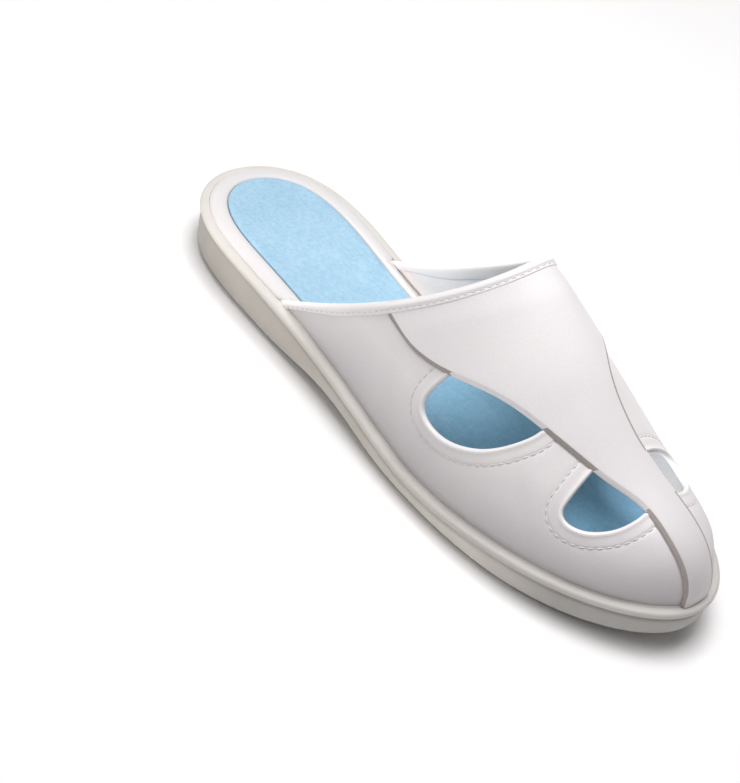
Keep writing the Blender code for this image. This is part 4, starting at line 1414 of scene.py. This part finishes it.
# ------------------------------------------------------------------ stitches
def stitch_line(points, normals, sink=0.0):
    """Dashes of thread along a line on the leather, as vertices and faces."""
    run = np.concatenate([[0.0], np.cumsum(np.linalg.norm(np.diff(points, axis=0), axis=1))])
    n = int(run[-1] / STITCH_PITCH)
    verts, faces = [], []
    ring_x = np.array((-1.0, -0.86, -0.45, 0.45, 0.86, 1.0))
    ring_r = np.array((0.12, 0.62, 1.0, 1.0, 0.62, 0.12))
    ring_z = np.array((-0.34, -0.10, 0.02, 0.02, -0.10, -0.34))
    seg = 8
    ang = np.linspace(0, 2 * np.pi, seg, endpoint=False)
    for k in range(n):
        at = (k + 0.5) * run[-1] / n
        span_at = at + ring_x * STITCH_LENGTH / 2
        c = np.stack([np.interp(span_at, run, points[:, i]) for i in range(3)], -1)
        nn = np.stack([np.interp(at, run, normals[:, i]) for i in range(3)])
        nn /= np.linalg.norm(nn)
        d = c[-1] - c[0]
        d /= np.linalg.norm(d)
        b = np.cross(nn, d)
        base = len(verts)
        for i in range(6):
            mid = c[i] + nn * (ring_z[i] + sink)
            for a in ang:
                verts.append(mid + b * (0.27 * ring_r[i] * math.cos(a)) + nn * (0.20 * ring_r[i] * math.sin(a)))
        for i in range(5):
            for j in range(seg):
                jj = (j + 1) % seg
                faces.append((base + i * seg + j, base + i * seg + jj, base + (i + 1) * seg + jj, base + (i + 1) * seg + j))
        faces.append(tuple(base + j for j in range(seg))[::-1])
        faces.append(tuple(base + 5 * seg + j for j in range(seg)))
    return verts, faces


def build_stitches():
    verts, faces = [], []

    def add(line):
        v, f = line
        base = len(verts)
        verts.extend(v)
        faces.extend(tuple(i + base for i in q) for q in f)

    # collar band, near its lower edge
    s, t, p, along, down, normal = COLLAR
    s2, t2 = off_collar(s, t, along, down, (BAND_WIDTH - 1.3) * band_share(t)[:, None])
    q, _, _, n2 = upper_frame(s2, t2)
    h = 0.47 * (1.0 + BAND_LIFT * over_panel(t))
    keep = slice(6, -6)
    add(stitch_line((q + h[:, None] * n2)[keep], n2[keep], 0.05))
    # folded edges of the cut-outs
    for side in (1, -1):
        for row in CUTOUTS[side]:
            curve = cutout_curve(side, row, 120)
            tt = t_of_girth(side, curve[:, 0], curve[:, 1])
            along2 = tangent(upper_point(curve[:, 0], tt))
            s3, t3 = moved_on(curve[:, 0], tt, along2, -side * HEM_WIDTH)
            free = girth_of(side, s3, t3) > seam_girth(side, s3) + 0.6
            q, _, _, n3 = upper_frame(s3, t3)
            off = side_shift(side, s3, girth_of(side, s3, t3), HEM_WIDTH) - 0.04
            add(stitch_line((q + off[:, None] * n3)[free], n3[free]))
    return piece("stitches", np.array(verts), faces, [THREAD])


build_sole()
build_footbed()
build_pad()
build_sides()
build_band()
build_panel(panel_grid())
build_stitches()

# ------------------------------------------------------------------ floor and light
def floor_material():
    mat, nt, bsdf = tree("floor_paper")
    v = coords(nt)
    tone = ramp(nt, noise(nt, v, 0.004, 2.0), ((0.3, (0.945, 0.945, 0.945)), (0.7, (0.965, 0.965, 0.965))))
    put(nt, bsdf.inputs["Base Color"], tone)
    bsdf.inputs["Roughness"].default_value = 0.9
    bsdf.inputs["Specular IOR Level"].default_value = 0.1
    return mat


mesh = bpy.data.meshes.new("floor")
mesh.from_pydata([(-4, -4, -0.0003), (4, -4, -0.0003), (4, 4, -0.0003), (-4, 4, -0.0003)], [], [(0, 1, 2, 3)])
mesh.materials.append(floor_material())
floor = bpy.data.objects.new("floor", mesh)
bpy.context.scene.collection.objects.link(floor)

# ------------------------------------------------------------------ camera
AZIMUTH, ELEVATION, ROLL = math.radians(36.2255), math.radians(39.2230), math.radians(18.5988)
FOCAL_PX, DISTANCE = 1674.672, 652.030
OFF_X, OFF_Y = 74.6588, -40.0265
TARGET = np.array((0.0, 140.0, 30.0))


def camera_frame():
    back = np.array((math.cos(ELEVATION) * math.cos(AZIMUTH), math.cos(ELEVATION) * math.sin(AZIMUTH),
                     math.sin(ELEVATION)))
    place = TARGET + DISTANCE * back
    fwd = -back
    right = np.cross(fwd, (0.0, 0.0, 1.0))
    right /= np.linalg.norm(right)
    up = np.cross(right, fwd)
    c, d = math.cos(ROLL), math.sin(ROLL)
    r, u = c * right + d * up, -d * right + c * up
    yaw = math.atan(OFF_X / FOCAL_PX)
    n = math.cos(yaw) * fwd - math.sin(yaw) * r
    r2 = math.cos(yaw) * r + math.sin(yaw) * fwd
    pitch = math.atan(OFF_Y / FOCAL_PX * math.cos(yaw))
    n2 = math.cos(pitch) * n + math.sin(pitch) * u
    u2 = math.cos(pitch) * u - math.sin(pitch) * n
    return place, r2, u2, n2


place, cam_x, cam_y, view_dir = camera_frame()
cam_data = bpy.data.cameras.new("camera")
cam_data.sensor_fit = "AUTO"
cam_data.sensor_width = 36.0
cam_data.lens = FOCAL_PX * 36.0 / 783.0
cam_data.clip_start, cam_data.clip_end = 0.02, 50.0
cam = bpy.data.objects.new("camera", cam_data)
bpy.context.scene.collection.objects.link(cam)
cx, cy, cz = turned(cam_x), turned(cam_y), -turned(view_dir)
loc = Vector(placed(place))
cam.matrix_world = Matrix(((cx.x, cy.x, cz.x, loc.x), (cx.y, cy.y, cz.y, loc.y), (cx.z, cy.z, cz.z, loc.z), (0, 0, 0, 1)))
bpy.context.scene.camera = cam


def area_light(name, place_m, aim_m, size, power, colour=(1, 1, 1)):
    data = bpy.data.lights.new(name, "AREA")
    data.shape = "RECTANGLE"
    data.size, data.size_y = size
    data.energy = power
    data.color = colour
    obj = bpy.data.objects.new(name, data)
    bpy.context.scene.collection.objects.link(obj)
    obj.location = place_m
    obj.rotation_euler = (Vector(aim_m) - Vector(place_m)).to_track_quat("-Z", "Y").to_euler()
    return obj


area_light("key", (0.0, 0.12, 1.22), (0.0, 0.0, 0.03), (0.7, 0.7), 12.6, (1.0, 0.985, 0.985))
area_light("back", (0.45, 0.02, 0.95), (0.0, 0.0, 0.03), (0.7, 0.7), 2.0, (1.0, 0.985, 0.985))
area_light("fill", (-0.70, 0.16, 0.92), (0.0, 0.0, 0.03), (0.6, 0.6), 1.7, (1.0, 0.985, 0.985))


def spot_light(name, place_m, aim_m, power, angle, radius, colour=(1, 1, 1)):
    data = bpy.data.lights.new(name, "SPOT")
    data.energy = power
    data.color = colour
    data.spot_size = math.radians(angle)
    data.spot_blend = 1.0
    data.shadow_soft_size = radius
    obj = bpy.data.objects.new(name, data)
    bpy.context.scene.collection.objects.link(obj)
    obj.location = place_m
    obj.rotation_euler = (Vector(aim_m) - Vector(place_m)).to_track_quat("-Z", "Y").to_euler()
    return obj


# a narrow light over the heel into the opening
spot_light("opening", (-0.36, 0.36, 0.13), (0.031, 0.046, 0.040), 9.0, 12.0, 0.03, (1.0, 0.945, 0.91))
# and two small ones inside the front cut-out, to the inner wall behind it and to the pad below it
gap_mid = upper_point(236.0, t_of_girth(1, 236.0, float(seam_girth(1, 236.0)) + 7.0))
wall_mid = upper_point(223.0, t_of_girth(-1, 223.0, float(full_girth(-1, 223.0)) - 11.0))
beam = (gap_mid - wall_mid) / np.linalg.norm(gap_mid - wall_mid)
spot_light("cutout", tuple(placed(gap_mid - 4.0 * beam)), tuple(placed(wall_mid)), 0.085, 62.0, 0.002)
pad_mid = np.array((float(axis_x(226.0)) + 7.0, 226.0, float(rim_z(226.0)) + PAD_RISE))
spot_light("toe_pad", tuple(placed(pad_mid + np.array((0.0, 0.0, 15.0)))), tuple(placed(pad_mid)), 0.0044, 140.0, 0.004)

world = bpy.data.worlds.new("studio")
world.use_nodes = True
world.node_tree.nodes["Background"].inputs["Color"].default_value = (1.0, 1.0, 1.0, 1.0)
world.node_tree.nodes["Background"].inputs["Strength"].default_value = 0.14
bpy.context.scene.world = world
bpy.context.scene.view_settings.view_transform = "Standard"
bpy.context.scene.view_settings.look = "None"
